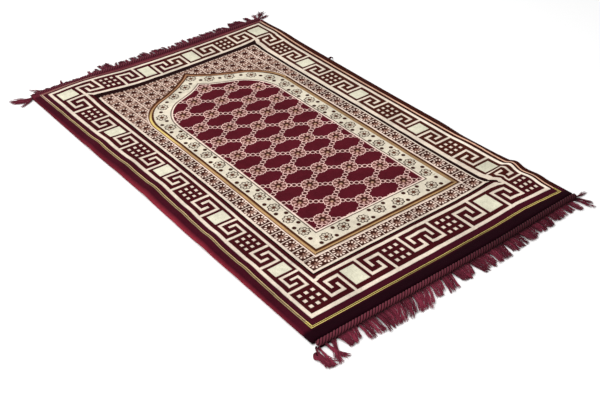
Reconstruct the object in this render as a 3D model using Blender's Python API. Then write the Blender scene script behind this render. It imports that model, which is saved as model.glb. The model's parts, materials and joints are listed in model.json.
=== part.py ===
"""A plush prayer rug lying on a floor, with a ribbed cord and a yarn fringe across each end.

Units are metres. +X runs across the rug, +Y runs towards the end that the arch points at, and +Z is up.
The origin is on the floor under the middle of the whole rug, fringe included. The pile cloth is one
solid of even thickness that follows its own soft folds, so its underside lifts where the cloth lifts.
"""
import math
import random

import bmesh
import bpy

# Driving sizes
RUG_WIDTH = 0.700
RUG_LENGTH = 1.100
PILE_THICKNESS = 0.009
CORD_HEIGHT = 0.010
SEAM_GAP = 0.0005        # between the cloth's edge and the cord
STRIP_GAP = 0.0005       # between the cord and the strip that holds the fringe
STRIP_HEIGHT = 0.0034
STRIP_DEPTH = 0.003
NEAR_REACH = 0.062       # from the cloth's near edge to the tip of the longest strand
FAR_REACH = 0.052
SIDE_REACH = 0.045       # from the cloth's long edge to the tip of a corner lock

# The cloth's centre lies off the origin, because the near fringe is the longer one.
CLOTH_SHIFT = (NEAR_REACH - FAR_REACH) / 2
HALF_WIDTH = RUG_WIDTH / 2
HALF_LENGTH = RUG_LENGTH / 2

# Soft folds that lift the cloth. x and y are the middle of a fold on the flat cloth, angle is the
# direction in which it runs, in degrees from +X, and half_length and half_width are where it fades out.
FOLD_COLUMNS = ("x", "y", "angle", "half_length", "half_width", "height")
FOLDS = (
    (0.300, -0.398, 4.0, 0.115, 0.024, 0.0090),     # pinched ridge across the right border
    (0.318, -0.452, -6.0, 0.080, 0.030, 0.0035),    # swell beside it, towards the corner
    (0.322, -0.290, 0.0, 0.075, 0.070, 0.0030),     # long swell on the right border
    (0.004, -0.460, 88.0, 0.062, 0.014, 0.0022),    # crease across the middle of the near border
    (-0.318, -0.320, 0.0, 0.060, 0.032, 0.0020),    # ripples along the left border
    (-0.322, -0.205, 8.0, 0.070, 0.034, 0.0028),
    (-0.314, -0.100, -5.0, 0.060, 0.030, 0.0020),
    (-0.320, 0.015, 5.0, 0.075, 0.036, 0.0030),
    (-0.316, 0.130, 0.0, 0.065, 0.034, 0.0024),
    (-0.320, 0.250, -6.0, 0.075, 0.040, 0.0030),
    (-0.210, 0.465, 10.0, 0.170, 0.070, 0.0050),    # the far border stands proud beside its corner
    (0.290, 0.450, -8.0, 0.120, 0.080, 0.0045),
    (0.050, 0.405, 2.0, 0.300, 0.020, 0.0025),      # low ridge where the far border meets the field
    (0.120, -0.050, 62.0, 0.160, 0.030, 0.0012),    # faint creases in the field
    (-0.110, 0.140, 75.0, 0.140, 0.028, 0.0012),
)

# How far each edge is drawn in, where the cloth isn't cut or laid quite square. at is the middle of the
# draw along the edge, reach is its half-length, and depth is how far into the cloth it fades.
PULL_COLUMNS = ("edge", "at", "reach", "draw", "depth")
PULLS = (
    ("near", 0.350, 0.300, 0.0080, 0.034),
    ("far", 0.060, 0.330, 0.0070, 0.160),
    ("right", -0.280, 0.130, 0.0075, 0.050),
    ("right", -0.090, 0.800, 0.0095, 0.100),
    ("left", 0.050, 0.220, 0.0025, 0.030),
)

# The cloth's outline from its top round to its underside: how far in from the edge, and how high.
RIM_COLUMNS = ("inset", "height")
RIM = (
    (0.0065, 1.00),
    (0.0018, 0.84),
    (0.0000, 0.46),
    (0.0016, 0.00),
)
GRID_STEP = 0.031        # the cloth's usual cell
FINE_STEP = 0.012        # near the pinched ridge
FINE_X = (0.252, 0.338)
FINE_Y = (-0.440, -0.356)

# The cord, a twisted one whose ribs run aslant
RIB_PITCH = 0.0084
RIB_DEPTH = 0.18         # how much a valley is drawn in, as a share of the cord's radius
RIB_SLANT = 0.70         # how far a rib runs along the cord for each metre that it runs across
CORD_SIDES = 6
CORD_END = 0.004         # from the cloth's corner back to the cord's end

# The fringe
STRANDS_PER_END = 102
STRAND_WIDTH = 0.0046
STRAND_HEIGHT = 0.0028
MID_SHARE = 0.52         # where a strand bends, as a share of its length
MID_TAPER = 0.86
MID_LEAN = 0.80          # how far it leans there, as a share of a straight strand's lean
CLUMP_SIZES = (3, 8)     # strands that cling together
CLUMP_DRAW = 0.30        # how much a clump's tips gather towards its middle
CLUMP_GAP = 0.0036       # extra room between two clumps at their roots
LEAN_SPREAD = 0.15       # how far clumps lean to either side, as a share of their length
ROOT_SPACING = 0.0004    # the least room between two strands where they bend
TIP_SPACING = 0.0012
SHORTEST_CLUMP = 0.68    # as a share of the longest strand
RAGGEDNESS = 0.10        # how much strands of one clump differ in length
FAN_STRANDS = 5          # strands that fan out at each corner
FAN_LEAN = 0.85          # how far the outermost of them leans, as a share of its length
LONGEST_STRAND = 34      # the number, from the left, of the strand that reaches furthest

# Where the fringe is worn short. at and reach are along X, and loss is the share of length that is gone.
WORN_COLUMNS = ("end", "at", "reach", "loss")
WORN = (
    ("near", 0.230, 0.200, 0.34),
    ("far", -0.270, 0.110, 0.40),
)

# Corner locks, which leave the ends of the strips. out is how far a lock reaches past the cloth's long
# edge, and aside is how far its tip lies past the strip, away from the cloth where positive.
LOCK_WIDTH = 0.0024      # a lock's root on the strip's end
LOCK_BEND = 0.30         # how much of its sideways way a lock has gone at its middle
LOCK_COLUMNS = ("end", "side", "out", "aside")
LOCKS = (
    ("near", 1, SIDE_REACH, -0.006),
    ("near", -1, 0.014, 0.012),
    ("far", -1, SIDE_REACH, -0.012),
    ("far", 1, 0.018, 0.010),
)

# Colours: base colour, roughness
MAROON_PILE = ((0.115, 0.012, 0.028), 0.95)
CORD_YARN = ((0.150, 0.030, 0.048), 0.80)
FRINGE_YARN = ((0.165, 0.028, 0.052), 0.85)


def rows(columns, table):
    """The rows of a table as dictionaries that are read by column name."""
    return [dict(zip(columns, row)) for row in table]


def fade(t):
    """1 at t = 0, falling smoothly to 0 at t = 1 and past it."""
    t = min(abs(t), 1.0)
    return 0.5 * (1.0 + math.cos(math.pi * t))


def lift(x, y):
    """How high the flat cloth's point x, y is raised off the floor."""
    height = 0.0
    for fold in rows(FOLD_COLUMNS, FOLDS):
        angle = math.radians(fold["angle"])
        dx = x - fold["x"]
        dy = y - fold["y"]
        along = dx * math.cos(angle) + dy * math.sin(angle)
        across = dy * math.cos(angle) - dx * math.sin(angle)
        height += fold["height"] * fade(along / fold["half_length"]) * fade(across / fold["half_width"])
    # The ends lie down, because the cord and the fringe hold them on the floor.
    return height * (1.0 - fade((HALF_LENGTH - abs(y)) / 0.035))


def drawn(x, y):
    """The flat cloth's point x, y as laid down, with the edges' unevenness."""
    moved_x = x
    moved_y = y
    for pull in rows(PULL_COLUMNS, PULLS):
        if pull["edge"] in ("near", "far"):
            side = -1.0 if pull["edge"] == "near" else 1.0
            inside = HALF_LENGTH - side * y
            moved_y -= side * pull["draw"] * fade((x - pull["at"]) / pull["reach"]) * fade(inside / pull["depth"])
        else:
            side = -1.0 if pull["edge"] == "left" else 1.0
            inside = HALF_WIDTH - side * x
            moved_x -= side * pull["draw"] * fade((y - pull["at"]) / pull["reach"]) * fade(inside / pull["depth"])
    return moved_x, moved_y


def laid(x, y, height):
    """A point of the cloth, height above its underside, as it lies on the floor."""
    moved_x, moved_y = drawn(x, y)
    return (moved_x, moved_y + CLOTH_SHIFT, lift(x, y) + height)


def grid_lines(half, fine):
    """Even grid lines from -half to half, closer together in the stretch fine."""
    lines = []
    stretches = ((-half, fine[0], GRID_STEP), (fine[0], fine[1], FINE_STEP), (fine[1], half, GRID_STEP))
    for start, end, step in stretches:
        count = max(1, round((end - start) / step))
        lines += [start + (end - start) * i / count for i in range(count)]
    return lines + [half]


def new_object(name, bm, look):
    """An object of the finished mesh, with its own material."""
    bmesh.ops.recalc_face_normals(bm, faces=bm.faces)
    mesh = bpy.data.meshes.new(name)
    bm.to_mesh(mesh)
    bm.free()
    made = bpy.data.objects.new(name, mesh)
    bpy.context.scene.collection.objects.link(made)
    material = bpy.data.materials.new(name)
    material.use_nodes = True
    shader = material.node_tree.nodes["Principled BSDF"]
    shader.inputs["Base Color"].default_value = (*look[0], 1.0)
    shader.inputs["Roughness"].default_value = look[1]
    shader.inputs["Metallic"].default_value = 0.0
    mesh.materials.append(material)
    mesh.shade_smooth()
    mesh.set_sharp_from_angle(angle=math.radians(40.0))
    return made


def make_cloth():
    """The pile cloth: a top and an underside on one grid, joined by a rounded rim."""
    xs = grid_lines(HALF_WIDTH, FINE_X)
    ys = grid_lines(HALF_LENGTH, FINE_Y)
    last_x = len(xs) - 1
    last_y = len(ys) - 1
    bm = bmesh.new()

    def point(i, j, ring):
        inner_x = HALF_WIDTH - ring["inset"]
        inner_y = HALF_LENGTH - ring["inset"]
        x = max(-inner_x, min(inner_x, xs[i]))
        y = max(-inner_y, min(inner_y, ys[j]))
        return bm.verts.new(laid(x, y, ring["height"] * PILE_THICKNESS))

    rim = rows(RIM_COLUMNS, RIM)
    sheets = []
    for ring in (rim[0], rim[-1]):
        sheets.append([[point(i, j, ring) for j in range(last_y + 1)] for i in range(last_x + 1)])
    for i in range(last_x):
        for j in range(last_y):
            for sheet in sheets:
                bm.faces.new((sheet[i][j], sheet[i + 1][j], sheet[i + 1][j + 1], sheet[i][j + 1]))

    edge = [(i, 0) for i in range(last_x)]
    edge += [(last_x, j) for j in range(last_y)]
    edge += [(i, last_y) for i in range(last_x, 0, -1)]
    edge += [(0, j) for j in range(last_y, 0, -1)]
    loops = [[sheets[0][i][j] for i, j in edge]]
    loops += [[point(i, j, ring) for i, j in edge] for ring in rim[1:-1]]
    loops.append([sheets[1][i][j] for i, j in edge])
    for upper, lower in zip(loops, loops[1:]):
        for k in range(len(edge)):
            after = (k + 1) % len(edge)
            bm.faces.new((upper[k], upper[after], lower[after], lower[k]))
    return new_object("pile_cloth", bm, MAROON_PILE)


def edge_line(side, x):
    """Where the cloth's end lies at x, in the model's frame. side is -1 for the near end."""
    return drawn(x, side * HALF_LENGTH)[1] + CLOTH_SHIFT


def cord_radius():
    """The cord's corner radius, which gives a cord on a flat side its full height."""
    return CORD_HEIGHT / 2 / math.sin(math.pi / 3)


def cord_line(side, x):
    """Where the middle of the cord lies at x."""
    return edge_line(side, x) + side * (SEAM_GAP + cord_radius())


def make_cord(name, side):
    """A twisted cord across one end of the rug, resting on the floor on one of its sides."""
    radius = cord_radius()
    half = HALF_WIDTH - CORD_END
    ribs = round(2 * half / RIB_PITCH)
    rings = []
    bm = bmesh.new()
    for k in range(2 * ribs + 1):
        x = -half + 2 * half * k / (2 * ribs)
        size = radius * (1.0 - RIB_DEPTH * (k % 2 == 0))
        ring = []
        for n in range(CORD_SIDES):
            angle = 2 * math.pi * n / CORD_SIDES
            across = size * math.cos(angle)
            along = x + RIB_SLANT * across * side * -1.0
            ring.append(bm.verts.new((along, cord_line(side, x) + across,
                                      CORD_HEIGHT / 2 + size * math.sin(angle))))
        rings.append(ring)
    for one, two in zip(rings, rings[1:]):
        for n in range(CORD_SIDES):
            after = (n + 1) % CORD_SIDES
            bm.faces.new((one[n], one[after], two[after], two[n]))
    bm.faces.new(rings[0])
    bm.faces.new(rings[-1])
    return new_object(name, bm, CORD_YARN)


def strip_offsets():
    """How far the fringe strip's rear and front lie from the cord's middle line."""
    narrowing = (CORD_HEIGHT / 2 - STRIP_HEIGHT) / math.tan(math.pi / 3)
    rear = cord_radius() - narrowing + STRIP_GAP
    return rear, rear + STRIP_DEPTH


def clumps(dice):
    """The number of strands in each clump along one end."""
    sizes = []
    left = STRANDS_PER_END
    while left > 0:
        size = min(left, dice.randint(*CLUMP_SIZES))
        sizes.append(size)
        left -= size
    return sizes


def kept_apart(places, spacing):
    """The places from left to right, moved on where they crowd."""
    spaced = [places[0]]
    for place in places[1:]:
        spaced.append(max(place, spaced[-1] + spacing))
    return spaced


def left_by_wear(end, x):
    """The share of a strand's length that is left at x."""
    share = 1.0
    for worn in rows(WORN_COLUMNS, WORN):
        if worn["end"] == end:
            share -= worn["loss"] * fade((x - worn["at"]) / worn["reach"])
    return share


def plan_strands(side, dice):
    """The clumps along one end. Each is a list of strands: places of root, bend and tip along X, length."""
    end = "near" if side < 0 else "far"
    reach = NEAR_REACH if side < 0 else FAR_REACH
    longest = reach - SEAM_GAP - cord_radius() - strip_offsets()[1]
    sizes = clumps(dice)
    width = 2 * (HALF_WIDTH - CORD_END) - STRAND_WIDTH - CLUMP_GAP
    pitch = (width - CLUMP_GAP * (len(sizes) - 1)) / (STRANDS_PER_END - 1)
    roots = []
    tips = []
    lengths = []
    x = -width / 2
    for size in sizes:
        middle = x + pitch * (size - 1) / 2
        share = SHORTEST_CLUMP + (1.0 - SHORTEST_CLUMP) * dice.random()
        lean = LEAN_SPREAD * (2 * dice.random() - 1)
        for _ in range(size):
            length = longest * share * left_by_wear(end, x) * (1.0 - RAGGEDNESS * dice.random())
            roots.append(x)
            tips.append(middle + (x - middle) * (1.0 - CLUMP_DRAW) + lean * length)
            lengths.append(length)
            x += pitch
        x += CLUMP_GAP
    for n in range(FAN_STRANDS):
        share = (FAN_STRANDS - n) / FAN_STRANDS
        last = STRANDS_PER_END - 1 - n
        tips[n] = roots[n] - FAN_LEAN * share * share * lengths[n]
        tips[last] = roots[last] + FAN_LEAN * share * share * lengths[last]
    start = cord_line(side, roots[LONGEST_STRAND]) + side * strip_offsets()[1]
    lengths[LONGEST_STRAND] = abs(side * (HALF_LENGTH + reach) + CLOTH_SHIFT - start)
    tips = kept_apart(tips, TIP_SPACING)
    bends = [root + MID_SHARE * MID_LEAN * (tip - root) for root, tip in zip(roots, tips)]
    bends = kept_apart(bends, STRAND_WIDTH * MID_TAPER + ROOT_SPACING)
    strands = list(zip(roots, bends, tips, lengths))
    planned = []
    for size in sizes:
        planned.append(strands[:size])
        strands = strands[size:]
    return planned


def fan(bm, hub, rim):
    """Triangles from one point to each stretch of the line rim."""
    for one, two in zip(rim, rim[1:]):
        bm.faces.new((hub, one, two))


def add_strand(bm, root, bend, spread, tip):
    """A three-sided strand that rests level on the floor.

    root holds its left, top and right points. spread is the step from the bend to the strand's side there.
    """
    middle = [
        bm.verts.new((bend[0] - spread[0], bend[1] - spread[1], 0.0)),
        bm.verts.new((bend[0], bend[1], STRAND_HEIGHT * MID_TAPER)),
        bm.verts.new((bend[0] + spread[0], bend[1] + spread[1], 0.0)),
    ]
    point = bm.verts.new((*tip, 0.0))
    for n in range(3):
        after = (n + 1) % 3
        bm.faces.new((root[n], root[after], middle[after], middle[n]))
        bm.faces.new((middle[n], middle[after], point))


def add_clump(bm, clump, side, one, two, front_at):
    """A clump's strands and the strip's front wall round their roots. Gives the wall's low line."""
    half = STRAND_WIDTH / 2
    low = [one["front_low"]]
    tops = []
    beside = (one["front_high"], one["front_low"])
    for x, bend, tip, length in clump:
        root = [
            bm.verts.new((x - half, front_at(x - half), 0.0)),
            bm.verts.new((x, front_at(x), STRAND_HEIGHT)),
            bm.verts.new((x + half, front_at(x + half), 0.0)),
        ]
        bm.faces.new((*beside, root[0], root[1]))
        beside = (root[1], root[2])
        tops.append(root[1])
        low += [root[0], root[2]]
        bend_y = front_at(x) + side * length * MID_SHARE
        tip_y = front_at(x) + side * length
        add_strand(bm, root, (bend, bend_y), (half * MID_TAPER, 0.0), (tip, tip_y))
    bm.faces.new((*beside, two["front_low"], two["front_high"]))
    fan(bm, one["front_high"], tops + [two["front_high"]])
    return low + [two["front_low"]]


def add_lock(bm, side, lock, corner, strip_at):
    """A corner lock and the strip's end wall round its root. Gives the wall's low line, front to rear."""
    rear, front = strip_offsets()
    middle = (rear + front) / 2
    half = LOCK_WIDTH / 2
    x = lock["side"] * (HALF_WIDTH - CORD_END)
    root = [
        bm.verts.new((x, strip_at(x, middle - half), 0.0)),
        bm.verts.new((x, strip_at(x, middle), STRAND_HEIGHT)),
        bm.verts.new((x, strip_at(x, middle + half), 0.0)),
    ]
    bm.faces.new((corner["rear_low"], root[0], root[1], corner["rear_high"]))
    bm.faces.new((root[2], corner["front_low"], corner["front_high"], root[1]))
    bm.faces.new((root[1], corner["front_high"], corner["rear_high"]))
    reach = HALF_WIDTH + lock["out"] - abs(x)
    start = strip_at(x, middle)
    bend = (x + lock["side"] * reach * MID_SHARE, start + side * lock["aside"] * LOCK_BEND)
    tip = (x + lock["side"] * reach, start + side * lock["aside"])
    add_strand(bm, root, bend, (0.0, side * half), tip)
    return [root[2], root[0]]


def make_fringe(name, side, seed):
    """The strip that holds one end's fringe, with its strands and corner locks, in one body."""
    end = "near" if side < 0 else "far"
    rear, front = strip_offsets()
    planned = plan_strands(side, random.Random(seed))
    bm = bmesh.new()

    # The strip runs straight from station to station, and the stations lie between clumps.
    stations = [-(HALF_WIDTH - CORD_END)]
    stations += [(one[-1][0] + two[0][0]) / 2 for one, two in zip(planned, planned[1:])]
    stations.append(HALF_WIDTH - CORD_END)

    def strip_at(x, offset):
        index = max(1, sum(station < x for station in stations[:-1]))
        left = stations[index - 1]
        right = stations[index]
        share = (x - left) / (right - left)
        line = (1.0 - share) * cord_line(side, left) + share * cord_line(side, right)
        return line + side * offset

    def front_at(x):
        return strip_at(x, front)

    corners = []
    for x in stations:
        corners.append({
            "rear_low": bm.verts.new((x, strip_at(x, rear), 0.0)),
            "rear_high": bm.verts.new((x, strip_at(x, rear), STRIP_HEIGHT)),
            "front_high": bm.verts.new((x, front_at(x), STRIP_HEIGHT)),
            "front_low": bm.verts.new((x, front_at(x), 0.0)),
        })

    locks = {lock["side"]: lock for lock in rows(LOCK_COLUMNS, LOCKS) if lock["end"] == end}
    left_foot = add_lock(bm, side, locks[-1], corners[0], strip_at)
    right_foot = add_lock(bm, side, locks[1], corners[-1], strip_at)
    for clump, one, two in zip(planned, corners, corners[1:]):
        low = add_clump(bm, clump, side, one, two, front_at)
        if one is corners[0]:
            fan(bm, two["rear_low"], [one["rear_low"]] + left_foot[::-1] + low)
        elif two is corners[-1]:
            fan(bm, one["rear_low"], low + right_foot + [two["rear_low"]])
        else:
            fan(bm, one["rear_low"], low + [two["rear_low"]])
        bm.faces.new((one["rear_high"], two["rear_high"], two["front_high"], one["front_high"]))
        bm.faces.new((one["rear_low"], two["rear_low"], two["rear_high"], one["rear_high"]))
    return new_object(name, bm, FRINGE_YARN)


def main():
    for old in list(bpy.data.objects):
        bpy.data.objects.remove(old)
    make_cloth()
    make_cord("near_cord", -1.0)
    make_cord("far_cord", 1.0)
    make_fringe("near_fringe", -1.0, 11)
    make_fringe("far_fringe", 1.0, 23)


main()
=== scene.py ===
"""The prayer rug as it lies in the photograph: plush pile cloth, twisted cords and yarn fringes.

Lengths in the making of shapes are in metres. The pattern is drawn in design coordinates in mm: p runs
across the rug from its middle line, and q runs along it from the near edge of the cream border.
"""
import json
import math
import random
from functools import partial, reduce

import bpy
import numpy as np
from mathutils import Matrix, Vector

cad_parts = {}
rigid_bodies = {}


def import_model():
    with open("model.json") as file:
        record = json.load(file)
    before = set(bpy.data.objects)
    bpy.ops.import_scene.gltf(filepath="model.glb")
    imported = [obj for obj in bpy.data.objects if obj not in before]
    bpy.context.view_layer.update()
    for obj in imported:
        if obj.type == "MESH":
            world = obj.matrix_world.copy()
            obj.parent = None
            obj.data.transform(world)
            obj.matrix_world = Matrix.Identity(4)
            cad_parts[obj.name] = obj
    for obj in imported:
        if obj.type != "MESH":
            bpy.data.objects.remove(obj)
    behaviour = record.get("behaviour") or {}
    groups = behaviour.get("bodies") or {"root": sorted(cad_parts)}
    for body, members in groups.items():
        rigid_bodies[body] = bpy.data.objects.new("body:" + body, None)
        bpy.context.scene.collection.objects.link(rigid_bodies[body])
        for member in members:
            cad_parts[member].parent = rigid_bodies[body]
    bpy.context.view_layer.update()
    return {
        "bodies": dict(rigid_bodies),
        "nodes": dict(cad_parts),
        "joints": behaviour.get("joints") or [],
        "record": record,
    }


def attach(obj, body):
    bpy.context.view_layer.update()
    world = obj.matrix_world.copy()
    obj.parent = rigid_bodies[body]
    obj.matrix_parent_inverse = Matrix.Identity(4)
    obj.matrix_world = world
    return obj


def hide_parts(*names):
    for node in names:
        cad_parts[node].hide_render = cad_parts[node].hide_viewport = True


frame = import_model()

# ---------------------------------------------------------------- sizes shared with the solids

RUG_WIDTH = 0.700
RUG_LENGTH = 1.100
HALF_WIDTH = RUG_WIDTH / 2
HALF_LENGTH = RUG_LENGTH / 2
PILE_THICKNESS = 0.009
CORD_HEIGHT = 0.010
SEAM_GAP = 0.0005
STRIP_GAP = 0.0005
STRIP_HEIGHT = 0.0034
STRIP_DEPTH = 0.003
NEAR_REACH = 0.062
FAR_REACH = 0.052
CLOTH_SHIFT = (NEAR_REACH - FAR_REACH) / 2
END_HOLD = 0.035         # the cloth lies down within this of its ends

# Swells of the cloth: each one's middle, the way it runs in degrees, and its sizes
FOLD_COLUMNS = ("x", "y", "angle", "half_length", "half_width", "height")
FOLDS = (
    (0.300, -0.398, 4.0, 0.115, 0.024, 0.0090),
    (0.318, -0.452, -6.0, 0.080, 0.030, 0.0035),
    (0.322, -0.290, 0.0, 0.075, 0.070, 0.0030),
    (0.004, -0.460, 88.0, 0.062, 0.014, 0.0022),
    (-0.318, -0.320, 0.0, 0.060, 0.032, 0.0020),
    (-0.322, -0.205, 8.0, 0.070, 0.034, 0.0028),
    (-0.314, -0.100, -5.0, 0.060, 0.030, 0.0020),
    (-0.320, 0.015, 5.0, 0.075, 0.036, 0.0030),
    (-0.316, 0.130, 0.0, 0.065, 0.034, 0.0024),
    (-0.320, 0.250, -6.0, 0.075, 0.040, 0.0030),
    (-0.210, 0.465, 10.0, 0.170, 0.070, 0.0050),
    (0.290, 0.450, -8.0, 0.120, 0.080, 0.0045),
    (0.050, 0.405, 2.0, 0.300, 0.020, 0.0025),
    (0.120, -0.050, 62.0, 0.160, 0.030, 0.0012),
    (-0.110, 0.140, 75.0, 0.140, 0.028, 0.0012),
)
# Where an edge is drawn in, how far along it and how deep into the cloth
PULL_COLUMNS = ("edge", "at", "reach", "draw", "depth")
PULLS = (
    ("near", 0.350, 0.300, 0.0080, 0.034),
    ("far", 0.060, 0.330, 0.0070, 0.160),
    ("right", -0.280, 0.130, 0.0075, 0.050),
    ("right", -0.090, 0.800, 0.0095, 0.100),
    ("left", 0.050, 0.220, 0.0025, 0.030),
)
# The rim's rings: how far in from the cloth's edge, how high as a share of the pile, and how far out the
# ring lies when the rim is rolled flat
RIM_COLUMNS = ("inset", "height", "unrolled")
RIM = (
    (0.0065, 1.00, -0.0065),
    (0.0036, 0.95, -0.0034),
    (0.0016, 0.84, -0.0010),
    (0.0003, 0.64, 0.0014),
    (0.0000, 0.42, 0.0034),
    (0.0006, 0.20, 0.0054),
    (0.0020, 0.00, 0.0078),
)
CELL = 0.005             # the pile cloth's grid
BAKE_MARGIN = 0.010
WAVES = 9                # the waves that make up a ripple


def rows(columns, table):
    """The rows of a table as dictionaries that are read by column name."""
    return [dict(zip(columns, row)) for row in table]


def fade(t):
    """1 at t = 0, falling smoothly to 0 at t = 1 and past it."""
    return 0.5 * (1.0 + np.cos(np.pi * np.minimum(np.abs(t), 1.0)))


def risen(t):
    """0 up to t = 0, rising smoothly to 1 at t = 1 and past it."""
    return 1.0 - float(fade(max(t, 0.0)))


def lift(x, y):
    """How high the flat cloth's points x, y are raised off the floor."""
    height = np.zeros_like(x)
    for fold in rows(FOLD_COLUMNS, FOLDS):
        angle = math.radians(fold["angle"])
        dx = x - fold["x"]
        dy = y - fold["y"]
        along = dx * math.cos(angle) + dy * math.sin(angle)
        across = dy * math.cos(angle) - dx * math.sin(angle)
        height += fold["height"] * fade(along / fold["half_length"]) * fade(across / fold["half_width"])
    return height * (1.0 - fade((HALF_LENGTH - np.abs(y)) / END_HOLD))


def drawn(x, y):
    """The flat cloth's points x, y as laid down, with the edges' unevenness."""
    moved = [x, y]
    for pull in rows(PULL_COLUMNS, PULLS):
        is_end = pull["edge"] in ("near", "far")
        side = -1.0 if pull["edge"] in ("near", "left") else 1.0
        out, along, half = (y, x, HALF_LENGTH) if is_end else (x, y, HALF_WIDTH)
        share = fade((along - pull["at"]) / pull["reach"]) * fade((half - side * out) / pull["depth"])
        moved[is_end] = moved[is_end] - side * pull["draw"] * share
    return moved


def edge_line(side, x):
    """Where the cloth's end lies at x. side is -1 for the near end."""
    return float(drawn(np.array(x), np.array(side * HALF_LENGTH))[1]) + CLOTH_SHIFT


def cord_radius():
    """The solids' cord radius."""
    return CORD_HEIGHT / 2 / math.sin(math.pi / 3)


def cord_line(side, x):
    """Where the middle of the cord lies at x."""
    return edge_line(side, x) + side * (SEAM_GAP + cord_radius())


def ripple(x, y, seed, scale):
    """Smooth unevenness between about -1 and 1, the same on every run."""
    dice = random.Random(seed)
    total = np.zeros_like(np.asarray(x, float))
    for _ in range(WAVES):
        turn = dice.uniform(0.0, math.tau)
        rate = math.tau / scale * dice.uniform(0.6, 1.7)
        start = dice.uniform(0.0, math.tau)
        total = total + np.sin(rate * (x * math.cos(turn) + y * math.sin(turn)) + start)
    return total / math.sqrt(WAVES / 2) / 2


# ---------------------------------------------------------------- the pattern's sizes, in mm

EDGE = 1.0               # the softness of the pattern's edges
UNIT = 7.65              # the key border's unit square along the ends, and then along the sides
SIDE_UNIT = 7.63
SIDE_ROW = 7.37          # a row of the key border at the sides, and then at the ends
END_ROW = 9.43
SIDE_ROWS = 248.6
NEAR_ROWS = 76.0
FAR_ROWS = 953.4
INNER_LINE = 8.4
SIDE_LINE = SIDE_ROWS - INNER_LINE
NEAR_LINE = NEAR_ROWS + INNER_LINE
FAR_LINE = FAR_ROWS - INNER_LINE
HALF_ACROSS = 309.8
ALONG = 1029.4
OUTER_LINE = 9.8
GOLD_OUT = 12.0
TILE_OUT = 224.8
TILE_IN = 196.5
TILE_FOOT = 97.4
TILE_ROW_TOP = 129.5
TILE_TOP = 929.0
TILE_LINE = 4.6
TILE_ACROSS = 30.23
TILE_ALONG = 34.9
# Arch outlines: the shoulder's middle and radius, the way to the ogee's middle, and the ogee's radius
OUTER_ARCH = (74.5, 727.0, 121.3, 0.37, 0.929, 400.0)
FRAME_FOOT = 130.3
INNER_ARCH = (38.0, 703.0, 112.5, 0.30, 0.954, 200.0)
FIELD_FOOT = 187.3
FRAME_WIDE = 13.1
FIELD_EDGE = 5.4
FLOWER_FOOT = 168.9
FLOWER_ACROSS = 47.5
FLOWER_ALONG = 50.5
LATTICE_ACROSS = 55.3
LATTICE_ALONG = 37.6
LATTICE_FOOT = 216.0
TILE_SIDE_FOOT = 134.5
TRIM = 0.12              # how much slimmer than its squares a bar of the fret is, in squares
PLANE_X = -0.3145        # the cream border's near-left corner, in metres
PLANE_Y = -0.5000

# Where the pattern's lines lie on the laid cloth, in mm from the cream edge's near-left corner.
ACROSS_LINES = (-321.8, -309.8, -248.6, -229.5, -183.0, -150.0, 150.0, 183.0, 229.5, 248.6, 309.8, 321.8)
LAY_ACROSS = (
    # y, then the place of each line
    (90, -13.0, 1.0, 63.0, 79.3, 129.0, 161.0, 460.5, 494.0, 545.0, 569.0, 636.0, 642.0),
    (150, -11.5, 2.0, 63.0, 79.5, 129.0, 161.0, 460.8, 494.0, 544.0, 566.5, 630.5, 639.0),
    (210, -11.5, 2.6, 64.0, 80.0, 129.0, 162.0, 460.8, 494.0, 543.0, 563.5, 626.2, 636.5),
    (300, -10.0, 3.4, 65.3, 81.6, 129.2, 163.2, 461.0, 494.7, 543.0, 563.0, 626.3, 634.9),
    (400, -8.0, 5.8, 68.4, 84.5, 131.6, 165.8, 461.8, 496.0, 545.0, 563.0, 627.0, 635.3),
    (500, -5.0, 9.8, 70.2, 85.8, 132.4, 166.6, 462.5, 497.0, 545.5, 563.8, 627.2, 635.6),
    (600, -6.3, 9.5, 70.0, 86.3, 133.2, 166.6, 463.2, 497.9, 545.0, 564.0, 627.2, 636.2),
    (700, -9.1, 5.3, 69.2, 85.8, 133.2, 166.6, 463.7, 498.7, 545.0, 564.5, 628.4, 637.2),
    (800, -11.3, 2.4, 67.6, 86.2, 133.2, 166.8, 464.0, 499.0, 546.0, 565.0, 629.5, 639.0),
    (935, -13.3, -0.5, 66.0, 86.5, 133.0, 167.0, 464.5, 500.0, 549.0, 570.0, 633.2, 644.0),
    (960, -13.6, -0.4, 66.2, 86.5, 133.0, 167.0, 464.5, 500.5, 551.0, 573.0, 635.8, 646.5),
)
# The same for the key border along its two sides and two ends, whose marks are in unit squares
SIDE_STOPS = (8, 15, 21, 28, 35, 42, 48, 55, 62, 69, 75, 82, 89, 96, 102, 109, 116, 123)
LEFT_STOPS = (74, 124, 162, 219.5, 273.7, 327.6, 371.8, 432, 488, 544.7, 587.4, 642.6, 698, 752.6, 796, 853, 907, 973)
RIGHT_STOPS = (
    73, 121, 160.5, 217, 272.4, 327.6, 369.7, 425.5, 480.3, 536, 577.4, 634.7, 689.5, 747, 788, 845, 901.6, 962,
)
END_STOPS_NEAR = (1, 8, 15, 21, 28, 35, 40.5, 46, 53, 60, 66, 73, 80)
NEAR_STOPS = (10, 62.5, 115, 160.7, 216.3, 268.5, 312, 356, 410, 470, 523, 583, 627)
END_STOPS_FAR = (1, 8, 15, 22, 29, 35, 40.5, 46, 52, 59, 66, 73, 80)
FAR_STOPS = (9.8, 65.3, 122.4, 171.8, 229, 271.8, 317, 362.6, 405, 467, 517, 577, 628.4)
# x, then y of the near lines: outer edge, rows' outer and inner ends, band's inner edge
NEAR_LINES = (
    (0, 0.5, 12.5, 75, 85), (100, 0, 12, 77.5, 86.5), (300, 0, 12, 78, 86.5), (450, 1.5, 12.5, 77, 86),
    (540, 5.5, 15.5, 80, 89.5), (600, 2, 13, 73, 90), (636, 0, 12, 73, 85),
)
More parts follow.
